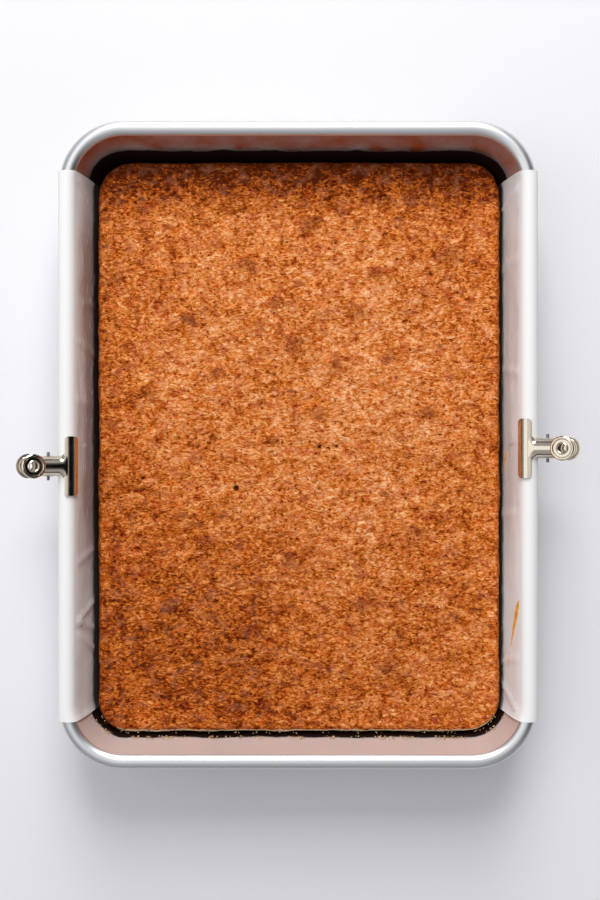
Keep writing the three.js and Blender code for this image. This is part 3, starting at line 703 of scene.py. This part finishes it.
for value, start, end, first, last in (
    (tinge, 0.5, 0.68, 0.0, 0.5), (tinge, 0.34, 0.46, 0.4, 0.0), (hues, 0.5, 0.68, 0.0, 0.22),
    (raised_skin, 0.2, 0.6, 0.0, 0.4), (hollow, 0.15, 0.8, 0.0, 0.95), (rubbed, 0.37, 0.47, 0.0, 1.0),
):
    stops = {"Value": value, 1: start, 2: end, 3: first, 4: last}
    shares.append(add(tree, "ShaderNodeMapRange", stops))
reddish, yellowish, rosy, mauve, pit_shade, cream = shares
# Over the crust's tone: tinges, blister skin, the painted shade in the pores and pits, the side crumb
# and the cream edge.
colour = skin
for share, upper, blend in (
    (reddish, RED_TINGE, "MULTIPLY"), (yellowish, YELLOW_TINGE, "MULTIPLY"), (rosy, ROSY_SKIN, "MIX"),
    (mauve, BLISTER_SKIN, "MIX"), (pore_shade, PORE_PAINTED_SHADE, "MIX"), (pit_shade, PIT_PAINTED_SHADE, "MIX"),
    (edge, SIDE_CRUMB, "MIX"), (cream, EDGE_CREAM, "MIX"),
):
    coat = {0: share, 6: colour, 7: upper}
    colour = add(tree, "ShaderNodeMix", coat, data_type="RGBA", blend_type=blend).outputs[2]
rough = add(tree, "ShaderNodeMapRange", {"Value": grain, 1: 0.35, 2: 0.65, 3: 0.8, 4: 0.42})
holes = add(tree, "ShaderNodeMath", {0: pore_shade, 1: pit_shade}, operation="MAXIMUM")
dry = add(tree, "ShaderNodeMath", {0: holes, 1: 0.5, 2: rough}, operation="MULTIPLY_ADD", use_clamp=True)
swell = add(tree, "ShaderNodeBump", {"Height": lumps, "Strength": 1.0, "Distance": SWELL_DEPTH})
bumps = {"Height": grain, "Strength": 1.0, "Distance": GRAIN_DEPTH, "Normal": swell}
relief = add(tree, "ShaderNodeBump", bumps)
dress(tree, shader, Base_Color=colour, Roughness=dry, Normal=relief)
cake.data.materials.append(crust)
smooth(cake, 75)
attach(cake, "pan_and_cake")
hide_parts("cake")

# ---------------------------------------------------------------- the crumbs
# Loose crumbs of the cake, torn off as it shrank, caught on the pan's wall just above the cake
# and along the cake's own near edge. They are scattered over both strips by a tree, with more
# where the litter attribute is higher, and each is an uneven lump, a millimetre across at most.
CRUMB_BAND = (32 * MM, 36 * MM)
EDGE_BAND = (-0.4 * MM, 0.7 * MM)
EDGE_HEIGHT = 31.2 * MM
CRUMB_DENSITY = 1.8 / MM**2
CRUMB_RADII = (0.12 * MM, 0.45 * MM)
LITTER_AT_STRIPS = (1.0, 0.1, 0.45, 0.3)
WALK_STEP = 2 * MM


def near_end_walk(half, corner, height):
    """Points at a height round the near end of a rounded rectangle, given its half sizes."""
    middle_x, middle_y = half[0] - corner, corner - half[1]
    walk = [(-middle_x - corner * math.cos(t), middle_y - corner * math.sin(t), height)
            for t in np.linspace(0.3, math.pi / 2, 16)]
    walk += [(x, middle_y - corner, height)
             for x in np.arange(-middle_x + WALK_STEP, middle_x, WALK_STEP)]
    walk += [(middle_x + corner * math.cos(t), middle_y - corner * math.sin(t), height)
             for t in np.linspace(math.pi / 2, 0.3, 16)]
    return walk


strips = []
for height in CRUMB_BAND:
    inset = wall_inset(height) + 0.25 * MM
    half = (pan_half.x - inset, pan_half.y - inset)
    strips.append(near_end_walk(half, RIM_CORNER - inset, height))
for off in EDGE_BAND:
    half = (cake_half.x + off, cake_half.y + off - cake_middle.y)
    strips.append(near_end_walk(half, CAKE_CORNER + off, EDGE_HEIGHT - off))
points, faces, litter = [], [], []
for number, walk in enumerate(strips):
    start = len(points)
    points += walk
    for x, y, _ in walk:
        corner = ease(abs(x), 70 * MM, 105 * MM)
        heap = 0.35 * corner - 0.05 + 2.6 * noise_at(x, y, number // 2, 5 * MM)
        litter.append(LITTER_AT_STRIPS[number] * max(0.0, heap))
    if number % 2:
        faces += [(start - len(walk) + i, start - len(walk) + i + 1, start + i + 1, start + i)
                  for i in range(len(walk) - 1)]
crumbs = new_piece("loose_crumbs", points, faces)
note_points(crumbs, litter=litter)


def mottled(name, roughness, gloss, size, detail, *stops):
    """A material of this roughness and specular level, mottled between colours by noise."""
    looks = {"Roughness": roughness, "Specular IOR Level": gloss}
    material, tree, shader, place = new_material(name, looks)
    mixed = {"Vector": place, "Scale": 1 / size, "Detail": detail}
    mixed = add(tree, "ShaderNodeTexNoise", mixed)
    stops = [(share, linear(colour)) for share, colour in stops]
    dress(tree, shader, Base_Color=add(tree, "ShaderNodeValToRGB", {"Fac": mixed}, stops))
    return material


# Torn cake crumb: dry, matt, cream to light brown.
crumb = mottled("torn_cake_crumb", 0.85, 0.3, 1.1 * MM, 3.0, (0.3, "#8f6236"), (0.5, "#c49a6c"),
    (0.68, "#e9d0ac"))

tree, given = new_tree("crumb_scatter", Density=1.0, Smallest=0.2, Largest=0.6, Seed=7)
where = add(tree, "GeometryNodeInputNamedAttribute", {"Name": "litter"}, data_type="FLOAT")
thick = add(tree, "ShaderNodeMath", {0: where, 1: given["Density"]}, operation="MULTIPLY")
spots = add(tree, "GeometryNodeDistributePointsOnFaces",
    {"Mesh": given["Geometry"], "Density": thick, "Seed": given["Seed"]})
lump = add(tree, "GeometryNodeMeshIcoSphere", {"Radius": 1.0, "Subdivisions": 2})
size = add(tree, "FunctionNodeRandomValue", {2: given["Smallest"], 3: given["Largest"],
    "Seed": given["Seed"]}, data_type="FLOAT").outputs[1]
turn = add(tree, "FunctionNodeRandomValue", {1: [math.tau] * 3, "Seed": 3}, data_type="FLOAT_VECTOR")
shape = add(tree, "ShaderNodeCombineXYZ", {0: 1.25, 1: 0.9, 2: 0.75})
sized = add(tree, "ShaderNodeVectorMath", {0: shape, "Scale": size}, operation="SCALE")
lumps = add(tree, "GeometryNodeInstanceOnPoints",
    {"Points": spots, "Instance": lump, "Rotation": turn, "Scale": sized})
real = add(tree, "GeometryNodeRealizeInstances", {"Geometry": lumps})
at = add(tree, "GeometryNodeInputPosition")
rough_noise = add(tree, "ShaderNodeTexNoise", {"Vector": at, "Scale": 1 / (0.7 * MM), "Detail": 2.0})
centred = add(tree, "ShaderNodeVectorMath", {0: rough_noise.outputs["Color"], 1: [0.5] * 3},
    operation="SUBTRACT")
push = add(tree, "ShaderNodeVectorMath", {0: centred, "Scale": 0.5 * MM}, operation="SCALE")
uneven = add(tree, "GeometryNodeSetPosition", {"Geometry": real, "Offset": push})
end_tree(tree, uneven, crumb)
grow(crumbs, tree, Density=CRUMB_DENSITY, Smallest=CRUMB_RADII[0], Largest=CRUMB_RADII[1],
     Seed=7)
smooth(crumbs, 60)
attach(crumbs, "pan_and_cake")

# ---------------------------------------------------------------- the strawberry flecks
# The only fruit that shows: two small crimson scraps baked into the crust near one corner. Each is
# a flattened uneven lump, half sunk in the crust. Places and sizes are in millimetres.
FLECKS = [(73.5, -147.6, 0.85, 1.7), (100.5, -145.6, 0.5, 0.9)]

# Baked strawberry flesh: glossy, deep crimson and unevenly dark.
flesh = mottled("baked_strawberry_flesh", 0.4, 0.5, 0.9 * MM, 2.0, (0.3, "#6d0f14"), (0.6, "#b3242b"))

scraps = bmesh.new()
for x, y, across, along in FLECKS:
    height = crust_height(x * MM - cake_middle.x, y * MM - cake_middle.y)
    made = bmesh.ops.create_icosphere(scraps, subdivisions=3, radius=1)
    for vertex in made["verts"]:
        ragged = 1 + 0.5 * noise.noise(vertex.co * 1.7 + Vector((x, y, 0)))
        stretched = vertex.co * ragged
        vertex.co = ((x + across * stretched.x + 0.3 * stretched.y) * MM, (y + along * stretched.y) * MM,
            height + 0.3 * MM * stretched.z)
flecks = new_piece("strawberry_flecks", [], [])
scraps.to_mesh(flecks.data)
scraps.free()
flecks.data.materials.append(flesh)
smooth(flecks, 80)
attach(flecks, "pan_and_cake")

# ---------------------------------------------------------------- the batter marks
# Smears of batter that ran down the parchment's right wall and baked hard: a long slanting drip
# near the near end, its thin tail, and a low smudge by the clip. Each is a thin lens on the paper.
# A mark is its two ends, as (place along the pan, height), and its half width, in millimetres.
MARKS = [((-82, 47.6), (-109, 38.8), 1.7), ((-4.5, 33.4), (-16, 32.2), 1.1),
         ((-112, 37.5), (-121, 37.0), 0.45)]
wall_foot = bend_point(0, -WALL_LEAN)[1]
wall_top = bead_point(0, math.pi - WALL_LEAN)[1]


def on_paper(y, height, off):
    """A point this far off the right wall's paper."""
    share = (height - wall_foot) / (wall_top - wall_foot)
    rise = PAPER_REST + PAPER + lift_at(1, y, share) + off
    foot, top = bend_point(rise, -WALL_LEAN), bead_point(rise, math.pi - WALL_LEAN)
    return paper_point(1, y, *[a + (b - a) * share for a, b in zip(foot, top)], 0)


drips = []
for start, end, half in MARKS:
    faces_of_mark = []
    for sign in (1, -1):
        grid = []
        for part in np.linspace(0, 1, 41):
            middle = [(a + (b - a) * part) * MM for a, b in zip(start, end)]
            wander = 0.35 * MM * noise_at(middle[0], half, 0, 4 * MM)
            reach = half * MM * (0.12 + math.sin(math.pi * part**0.6)) * 0.85
            grid.append([on_paper(middle[0], middle[1] + wander + reach * v,
                (0.04 + sign * 0.1 * (1.02 - v * v)) * MM) for v in np.linspace(-1, 1, 9)])
        faces_of_mark.append(grid)
    drips.append(close_sheet("batter_mark", *faces_of_mark))

# Baked batter: glossy, amber where it is thick and straw yellow where it is thin.
batter = mottled("baked_batter", 0.35, 0.5, 3 * MM, 3.0, (0.3, "#e8962a"), (0.5, "#f9b63e"),
    (0.7, "#fde09a"))
marks = drips[0]
marks.name = "batter_marks"
whole = bmesh.new()
for drip in drips:
    whole.from_mesh(drip.data)
whole.to_mesh(marks.data)
whole.free()
for drip in drips[1:]:
    bpy.data.objects.remove(drip)
marks.data.materials.append(batter)
smooth(marks, 80)
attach(marks, "pan_and_cake")

# ---------------------------------------------------------------- the clips
# Two common 31 mm bulldog clips of pressed and nickel-plated steel: two leaves that turn on a pin,
# with curled jaws, half-round necks and dished finger discs, pushed apart by a coil spring. One
# upper and one lower leaf are shaped about the pin, in millimetres, and copied to both rims.
# Turns are in degrees round the curl, from straight towards the handle.
PIN_REACH = 10.1
DISC_REACH = 9.1
JAW_HALF = 15.5
JAW_CORNER = 2.0
LEAF = 0.6
LEAF_ROUND = 5.55
LEAF_SLOPE = math.radians(2)
DISC_RADIUS = 6.3
DISC_HOLE = 2.4
UPPER_NECK = 5.3
LOWER_NECK = 3.9
EAR_RADIUS = 2.2
PIN_HOLE = 1.2
CLIP_TILT = math.radians(25)
JAW_TURNS = (141, 60)
LIP_TURN = 124
NECK_LAP = 1.6
DISC_LAP = 1.2
NECK_FLARE = 1.5
NECK_START = 0.9
jaw_front = LEAF_ROUND * math.cos(math.radians(JAW_TURNS[1])) - PIN_REACH


def ridge_height(x):
    """The height of the leaf's straight middle line above the pin."""
    return LEAF_ROUND + (x + PIN_REACH) * math.tan(LEAF_SLOPE)


def thick_grid(name, grid, thickness):
    """A closed shell of even thickness about a grid of points."""
    grid = np.array(grid, float)
    down = np.gradient(grid, axis=0)
    across = np.gradient(grid, axis=1)
    normal = np.cross(down, across)
    normal /= np.linalg.norm(normal, axis=2, keepdims=True)
    upper, lower = grid + normal * thickness / 2, grid - normal * thickness / 2
    return close_sheet(name, upper.tolist(), lower.tolist())


def jaw_shell():
    """The jaw: a curl over the rim that ends in a flat lip, its plan's corners rounded."""
    line = []
    for turn in np.linspace(*JAW_TURNS, 40):
        angle = math.radians(min(turn, LIP_TURN))
        run = LEAF_ROUND * math.radians(max(0.0, turn - LIP_TURN))
        line.append((LEAF_ROUND * math.cos(angle) - run * math.sin(angle) - PIN_REACH,
            LEAF_ROUND * math.sin(angle) + run * math.cos(angle)))
    back = line[0][0]
    grid = []
    for x, z in line:
        inward = max(back + JAW_CORNER - x, x - jaw_front + JAW_CORNER, 0.0)
        half = JAW_HALF - JAW_CORNER + math.sqrt(max(0.0, JAW_CORNER**2 - inward**2))
        grid.append([(x, half * v, z) for v in np.linspace(-1, 1, 41)])
    return thick_grid("jaw", grid, LEAF)


def neck_shell(neck):
    """The neck: a half-round channel that flattens and flares where it meets the jaw."""
    start, end = jaw_front - NECK_LAP, DISC_REACH - DISC_RADIUS + DISC_LAP
    grid = []
    for x in np.linspace(start, end, 30):
        formed = ease(x, start + 0.4, start + 4.4)
        half = neck + NECK_FLARE * (1 - ease(x, start + 1.0, start + 3.0))
        depth = NECK_START + (neck - NECK_START - LEAF / 2) * formed
        arch = [(x, (half - LEAF / 2) * math.sin(t), ridge_height(x) - depth * (1 - math.cos(t)))
                for t in np.linspace(-math.pi / 2, math.pi / 2, 33)]
        grid.append(arch)
    return thick_grid("neck", grid, LEAF)


def ring_shell(name, rings):
    """A closed ring-shaped solid from rings of points that follow its section round."""
    count = len(rings[0])
    faces = []
    for r in range(len(rings)):
        s = (r + 1) % len(rings)
        for i in range(count):
            j = (i + 1) % count
            faces.append((r * count + i, r * count + j, s * count + j, s * count + i))
    return new_piece(name, [point for ring in rings for point in ring], faces)


def ear_shell(neck, side):
    """An ear that carries the pin: a tab with a round end and a round hole."""
    turns = np.linspace(0, 2 * math.pi, 49)[:-1]
    top = ridge_height(0) - neck + 1.2
    rim = []
    for turn in turns:
        reach = EAR_RADIUS
        if math.sin(turn) > 0:
            reach = min(EAR_RADIUS / max(abs(math.cos(turn)), 1e-6), top / math.sin(turn))
        rim.append((reach * math.cos(turn), reach * math.sin(turn)))
    hole = [(PIN_HOLE * math.cos(turn), PIN_HOLE * math.sin(turn)) for turn in turns]
    near, far = neck - LEAF, neck
    rings = [[(x, side * y, z) for x, z in loop]
             for loop, y in ((rim, near), (hole, near), (hole, far), (rim, far))]
    return ring_shell("ear", rings)


def disc_shell():
    """The finger disc: a dished ring with a rolled edge and a raised lip round its hole."""
    half = LEAF / 2
    middle = [(DISC_HOLE, 0.45), (DISC_HOLE + 0.2, 0.6), (DISC_HOLE + 0.5, 0.45),
        (DISC_HOLE + 0.75, 0.08), (DISC_HOLE + 0.95, 0.0), (4.5, 0.0), (4.75, 0.1), (5.0, 0.5),
        (5.3, 0.8), (5.65, 0.85), (DISC_RADIUS - half, 0.6), (DISC_RADIUS - half + 0.1, 0.0)]
    middle = np.array(middle)
    slope = np.gradient(middle, axis=0)
    side = np.column_stack([-slope[:, 1], slope[:, 0]])
    side /= np.linalg.norm(side, axis=1, keepdims=True)
    section = np.vstack([middle + side * half * 0.9, (middle - side * half * 0.9)[::-1]])
    turns = np.linspace(0, 2 * math.pi, 65)[:-1]
    lift, tilt = ridge_height(DISC_REACH), Matrix.Rotation(-LEAF_SLOPE, 3, "Y")
    rings = []
    for radius, height in section:
        ring = [tilt @ Vector((radius * math.cos(t), radius * math.sin(t), height)) for t in turns]
        rings.append([(p.x + DISC_REACH, p.y, p.z + lift) for p in ring])
    return ring_shell("disc", rings)


def join_solids(name, parts):
    """One closed mesh from solids that overlap."""
    for part in parts:
        smooth(part)
    whole = parts[0]
    whole.name = name
    for part in parts[1:]:
        cut = whole.modifiers.new("join", "BOOLEAN")
        cut.operation = "UNION"
        cut.solver = "EXACT"
        cut.object = part
        settle(whole)
        bpy.data.objects.remove(part)
    return whole


def leaf_solid(name, neck):
    """A whole leaf about its pin."""
    parts = [jaw_shell(), neck_shell(neck), ear_shell(neck, 1), ear_shell(neck, -1), disc_shell()]
    return join_solids(name, parts)


def place_copy(name, source, turn):
    """A copy of a clip part with the place and turn put into its mesh."""
    piece = bpy.data.objects.new(name, source.data.copy())
    bpy.context.collection.objects.link(piece)
    piece.data.transform(turn)
    return piece


# Bright nickel plate: a hard, slightly warm mirror with fine rubbed scratches and, here and there,
# a little dulling from the oven.
NICKEL = linear("#ddd2c0")
SCRATCH = (0.25 * MM, 6 * MM, 0.25 * MM)
nickel, tree, shader, place = new_material("bright_nickel_plate", {"Metallic": 1.0})
rubbed = add(tree, "ShaderNodeMapping", {"Vector": place, "Scale": [1 / s for s in SCRATCH]})
scratch = add(tree, "ShaderNodeTexNoise", {"Vector": rubbed, "Scale": 1.0, "Detail": 3.0})
dull = add(tree, "ShaderNodeTexNoise", {"Vector": place, "Scale": 1 / (5 * MM), "Detail": 3.0})
rough = add(tree, "ShaderNodeMapRange", {"Value": dull, 1: 0.3, 2: 0.7, 3: 0.1, 4: 0.2})
shade = add(tree, "ShaderNodeMapRange", {"Value": scratch, 1: 0.2, 2: 0.8, 3: 0.86, 4: 1.0})
colour = add(tree, "ShaderNodeVectorMath", {0: NICKEL[:3], 1: shade}, operation="MULTIPLY")
dress(tree, shader, Base_Color=colour, Roughness=rough)

# Drawn spring steel: greyer and duller than the plate, faintly mottled.
STEEL = linear("#8d8a86")
steel, tree, shader, place = new_material("drawn_spring_steel", {"Metallic": 1.0})
mottle = add(tree, "ShaderNodeTexNoise", {"Vector": place, "Scale": 1 / (0.8 * MM), "Detail": 3.0})
rough = add(tree, "ShaderNodeMapRange", {"Value": mottle, 1: 0.3, 2: 0.7, 3: 0.26, 4: 0.42})
shade = add(tree, "ShaderNodeMapRange", {"Value": mottle, 1: 0.3, 2: 0.7, 3: 0.8, 4: 1.0})
colour = add(tree, "ShaderNodeVectorMath", {0: STEEL[:3], 1: shade}, operation="MULTIPLY")
dress(tree, shader, Base_Color=colour, Roughness=rough)

PIN_RADIUS = 0.8
PIN_HALF = 7.4
COIL_RADIUS = 2.0
COIL_WIRE = 0.4
COIL_TURNS = 3
COIL_PITCH = 1.2
LEG_LENGTH = 4.0
LEG_SPREAD = math.radians(15)


def pin_solid():
    """The pin: a steel rod along Y with rounded-off ends."""
    section = [(0.02, -PIN_HALF), (PIN_RADIUS - 0.3, -PIN_HALF), (PIN_RADIUS - 0.08, -PIN_HALF + 0.1),
               (PIN_RADIUS, -PIN_HALF + 0.35)]
    section += [(radius, -place) for radius, place in reversed(section)]
    turns = np.linspace(0, 2 * math.pi, 25)[:-1]
    points = [(r * math.cos(t), y, r * math.sin(t)) for r, y in section for t in turns]
    count = len(turns)
    faces = [(r * count + i, r * count + (i + 1) % count, (r + 1) * count + (i + 1) % count,
              (r + 1) * count + i) for r in range(len(section) - 1) for i in range(count)]
    faces += [tuple(range(count)), tuple(range(len(points) - count, len(points)))]
    return new_piece("pin", points, faces)


def spring_line():
    """The wire's middle line: in from the lower handle, turns round the pin, out to the upper."""
    turning = (2 * math.pi * COIL_TURNS + math.pi - 2 * LEG_SPREAD) * COIL_RADIUS
    points = []
    for run in np.linspace(-LEG_LENGTH, turning + LEG_LENGTH, 150):
        wound = min(max(run, 0.0), turning)
        straight = run - wound
        angle = -math.pi / 2 - LEG_SPREAD - wound / COIL_RADIUS
        points.append((COIL_RADIUS * math.cos(angle) + straight * math.sin(angle),
            (wound / turning - 0.5) * COIL_TURNS * COIL_PITCH,
            COIL_RADIUS * math.sin(angle) - straight * math.cos(angle)))
    return points


tree, given = new_tree("bent_wire", Radius=0.4, Sides=12)
wire = add(tree, "GeometryNodeMeshToCurve", {"Mesh": given["Geometry"]})
section = add(tree, "GeometryNodeCurvePrimitiveCircle",
    {"Radius": given["Radius"], "Resolution": given["Sides"]})
tube = add(tree, "GeometryNodeCurveToMesh", {"Curve": wire, "Profile Curve": section, "Fill Caps": True})
end_tree(tree, tube, steel)
line = spring_line()
spring = new_piece("spring", line, [], [(i, i + 1) for i in range(len(line) - 1)])
grow(spring, tree, Radius=COIL_WIRE, Sides=12)

turned_over = Matrix.Rotation(math.pi, 4, "X")
upper_leaf = leaf_solid("upper_leaf", UPPER_NECK)
lower_leaf = leaf_solid("lower_leaf", LOWER_NECK)
pin = pin_solid()
for source, metal in ((upper_leaf, nickel), (lower_leaf, nickel), (pin, steel)):
    source.data.materials.clear()
    source.data.materials.append(metal)
for source, sharpest in ((upper_leaf, 32), (lower_leaf, 32), (pin, 40), (spring, 60)):
    smooth(source, sharpest)
for side in ("left", "right"):
    facing = Matrix.Rotation(math.pi if side == "left" else 0, 4, "Z")
    clip_place = (Matrix.Translation(pin_at[side]) @ facing @ Matrix.Rotation(-CLIP_TILT, 4, "Y")
        @ Matrix.Scale(MM, 4))
    made = [("upper_leaf", upper_leaf, clip_place, f"{side}_clip_jaw", "nickel_plate"),
        ("lower_leaf", lower_leaf, clip_place @ turned_over, "pan_and_cake", "nickel_plate"),
        ("pin", pin, clip_place, "pan_and_cake", "spring_steel"),
        ("spring", spring, clip_place, "pan_and_cake", "spring_steel")]
    for part, source, turn, body, slot in made:
        piece = place_copy(f"{side}_bulldog_{part}", source, turn)
        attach(piece, body)
        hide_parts(f"{side}_clip_{part}")
for source in (upper_leaf, lower_leaf, pin, spring):
    bpy.data.objects.remove(source)

# ---------------------------------------------------------------- studio
# A plain pale table, a large soft window-like light from the far side, a weak one from the left,
# a pale room all round, and a camera straight above.
floor = new_piece("table", [(x, y, 0) for x, y in ((-3, -3), (3, -3), (3, 3), (-3, 3))], [(0, 1, 2, 3)])
pale, tree, shader, place = new_material("pale_table",
    {"Base Color": linear("#ecebee"), "Roughness": 0.55})
floor.data.materials.append(pale)

# The room is pale, palest overhead, dark near the level of the table, and dark up to the right,
# where whoever looks down stands, as bright metal mirrors it.
ROOM_STOPS = [(0.0, linear("#212123")), (0.12, linear("#444446")), (0.3, linear("#b2b3b8")),
    (0.84, linear("#b2b3b8")), (0.95, linear("#f4f4f6"))]
WATCHER_TILT = math.radians(50)
WATCHER = (math.sin(WATCHER_TILT), 0, math.cos(WATCHER_TILT))
WATCHER_SPAN = [math.cos(math.radians(turn)) for turn in (44, 18)]
WATCHER_SHADE = linear("#0e0e10")
world = bpy.data.worlds.new("room")
world.use_nodes = True
tree = world.node_tree
facing = add(tree, "ShaderNodeTexCoord").outputs["Generated"]
upward = add(tree, "ShaderNodeSeparateXYZ", {"Vector": facing}).outputs["Z"]
walls = add(tree, "ShaderNodeValToRGB", {"Fac": upward}, ROOM_STOPS)
towards = add(tree, "ShaderNodeVectorMath", {0: facing, 1: WATCHER}, operation="DOT_PRODUCT")
span = {"Value": towards.outputs["Value"], 1: WATCHER_SPAN[0], 2: WATCHER_SPAN[1]}
hidden = add(tree, "ShaderNodeMapRange", span)
shade = {0: hidden, 6: walls, 7: WATCHER_SHADE}
room = tree.nodes["Background"]
dress(tree, room, Color=add(tree, "ShaderNodeMix", shade, data_type="RGBA").outputs[2])
room.inputs["Strength"].default_value = 1.0
bpy.context.scene.world = world


def soft_light(name, place, target, size, power):
    """A rectangular area light aimed at a point."""
    lamp = bpy.data.lights.new(name, "AREA")
    lamp.shape = "RECTANGLE"
    lamp.size, lamp.size_y = size
    lamp.energy = power
    light = bpy.data.objects.new(name, lamp)
    light.location = place
    light.rotation_euler = (Vector(target) - Vector(place)).to_track_quat("-Z", "Y").to_euler()
    bpy.context.collection.objects.link(light)


soft_light("window", (0.0, 1.8, 1.35), (0, 0, 0), (1.1, 1.7), 46)
soft_light("left_fill", (-0.95, 0.1, 1.2), (0, 0, 0), (1.2, 1.0), 3.2)

CAMERA_RISE = 656 * MM
camera_data = bpy.data.cameras.new("overhead")
camera_data.lens = 50
camera_data.sensor_fit = "VERTICAL"
camera_data.sensor_height = 36
camera = bpy.data.objects.new("overhead", camera_data)
camera.location = (1.05 * MM, -2.6 * MM, bead_height + CAMERA_RISE)
bpy.context.collection.objects.link(camera)
bpy.context.scene.camera = camera
bpy.context.scene.view_settings.view_transform = "Standard"
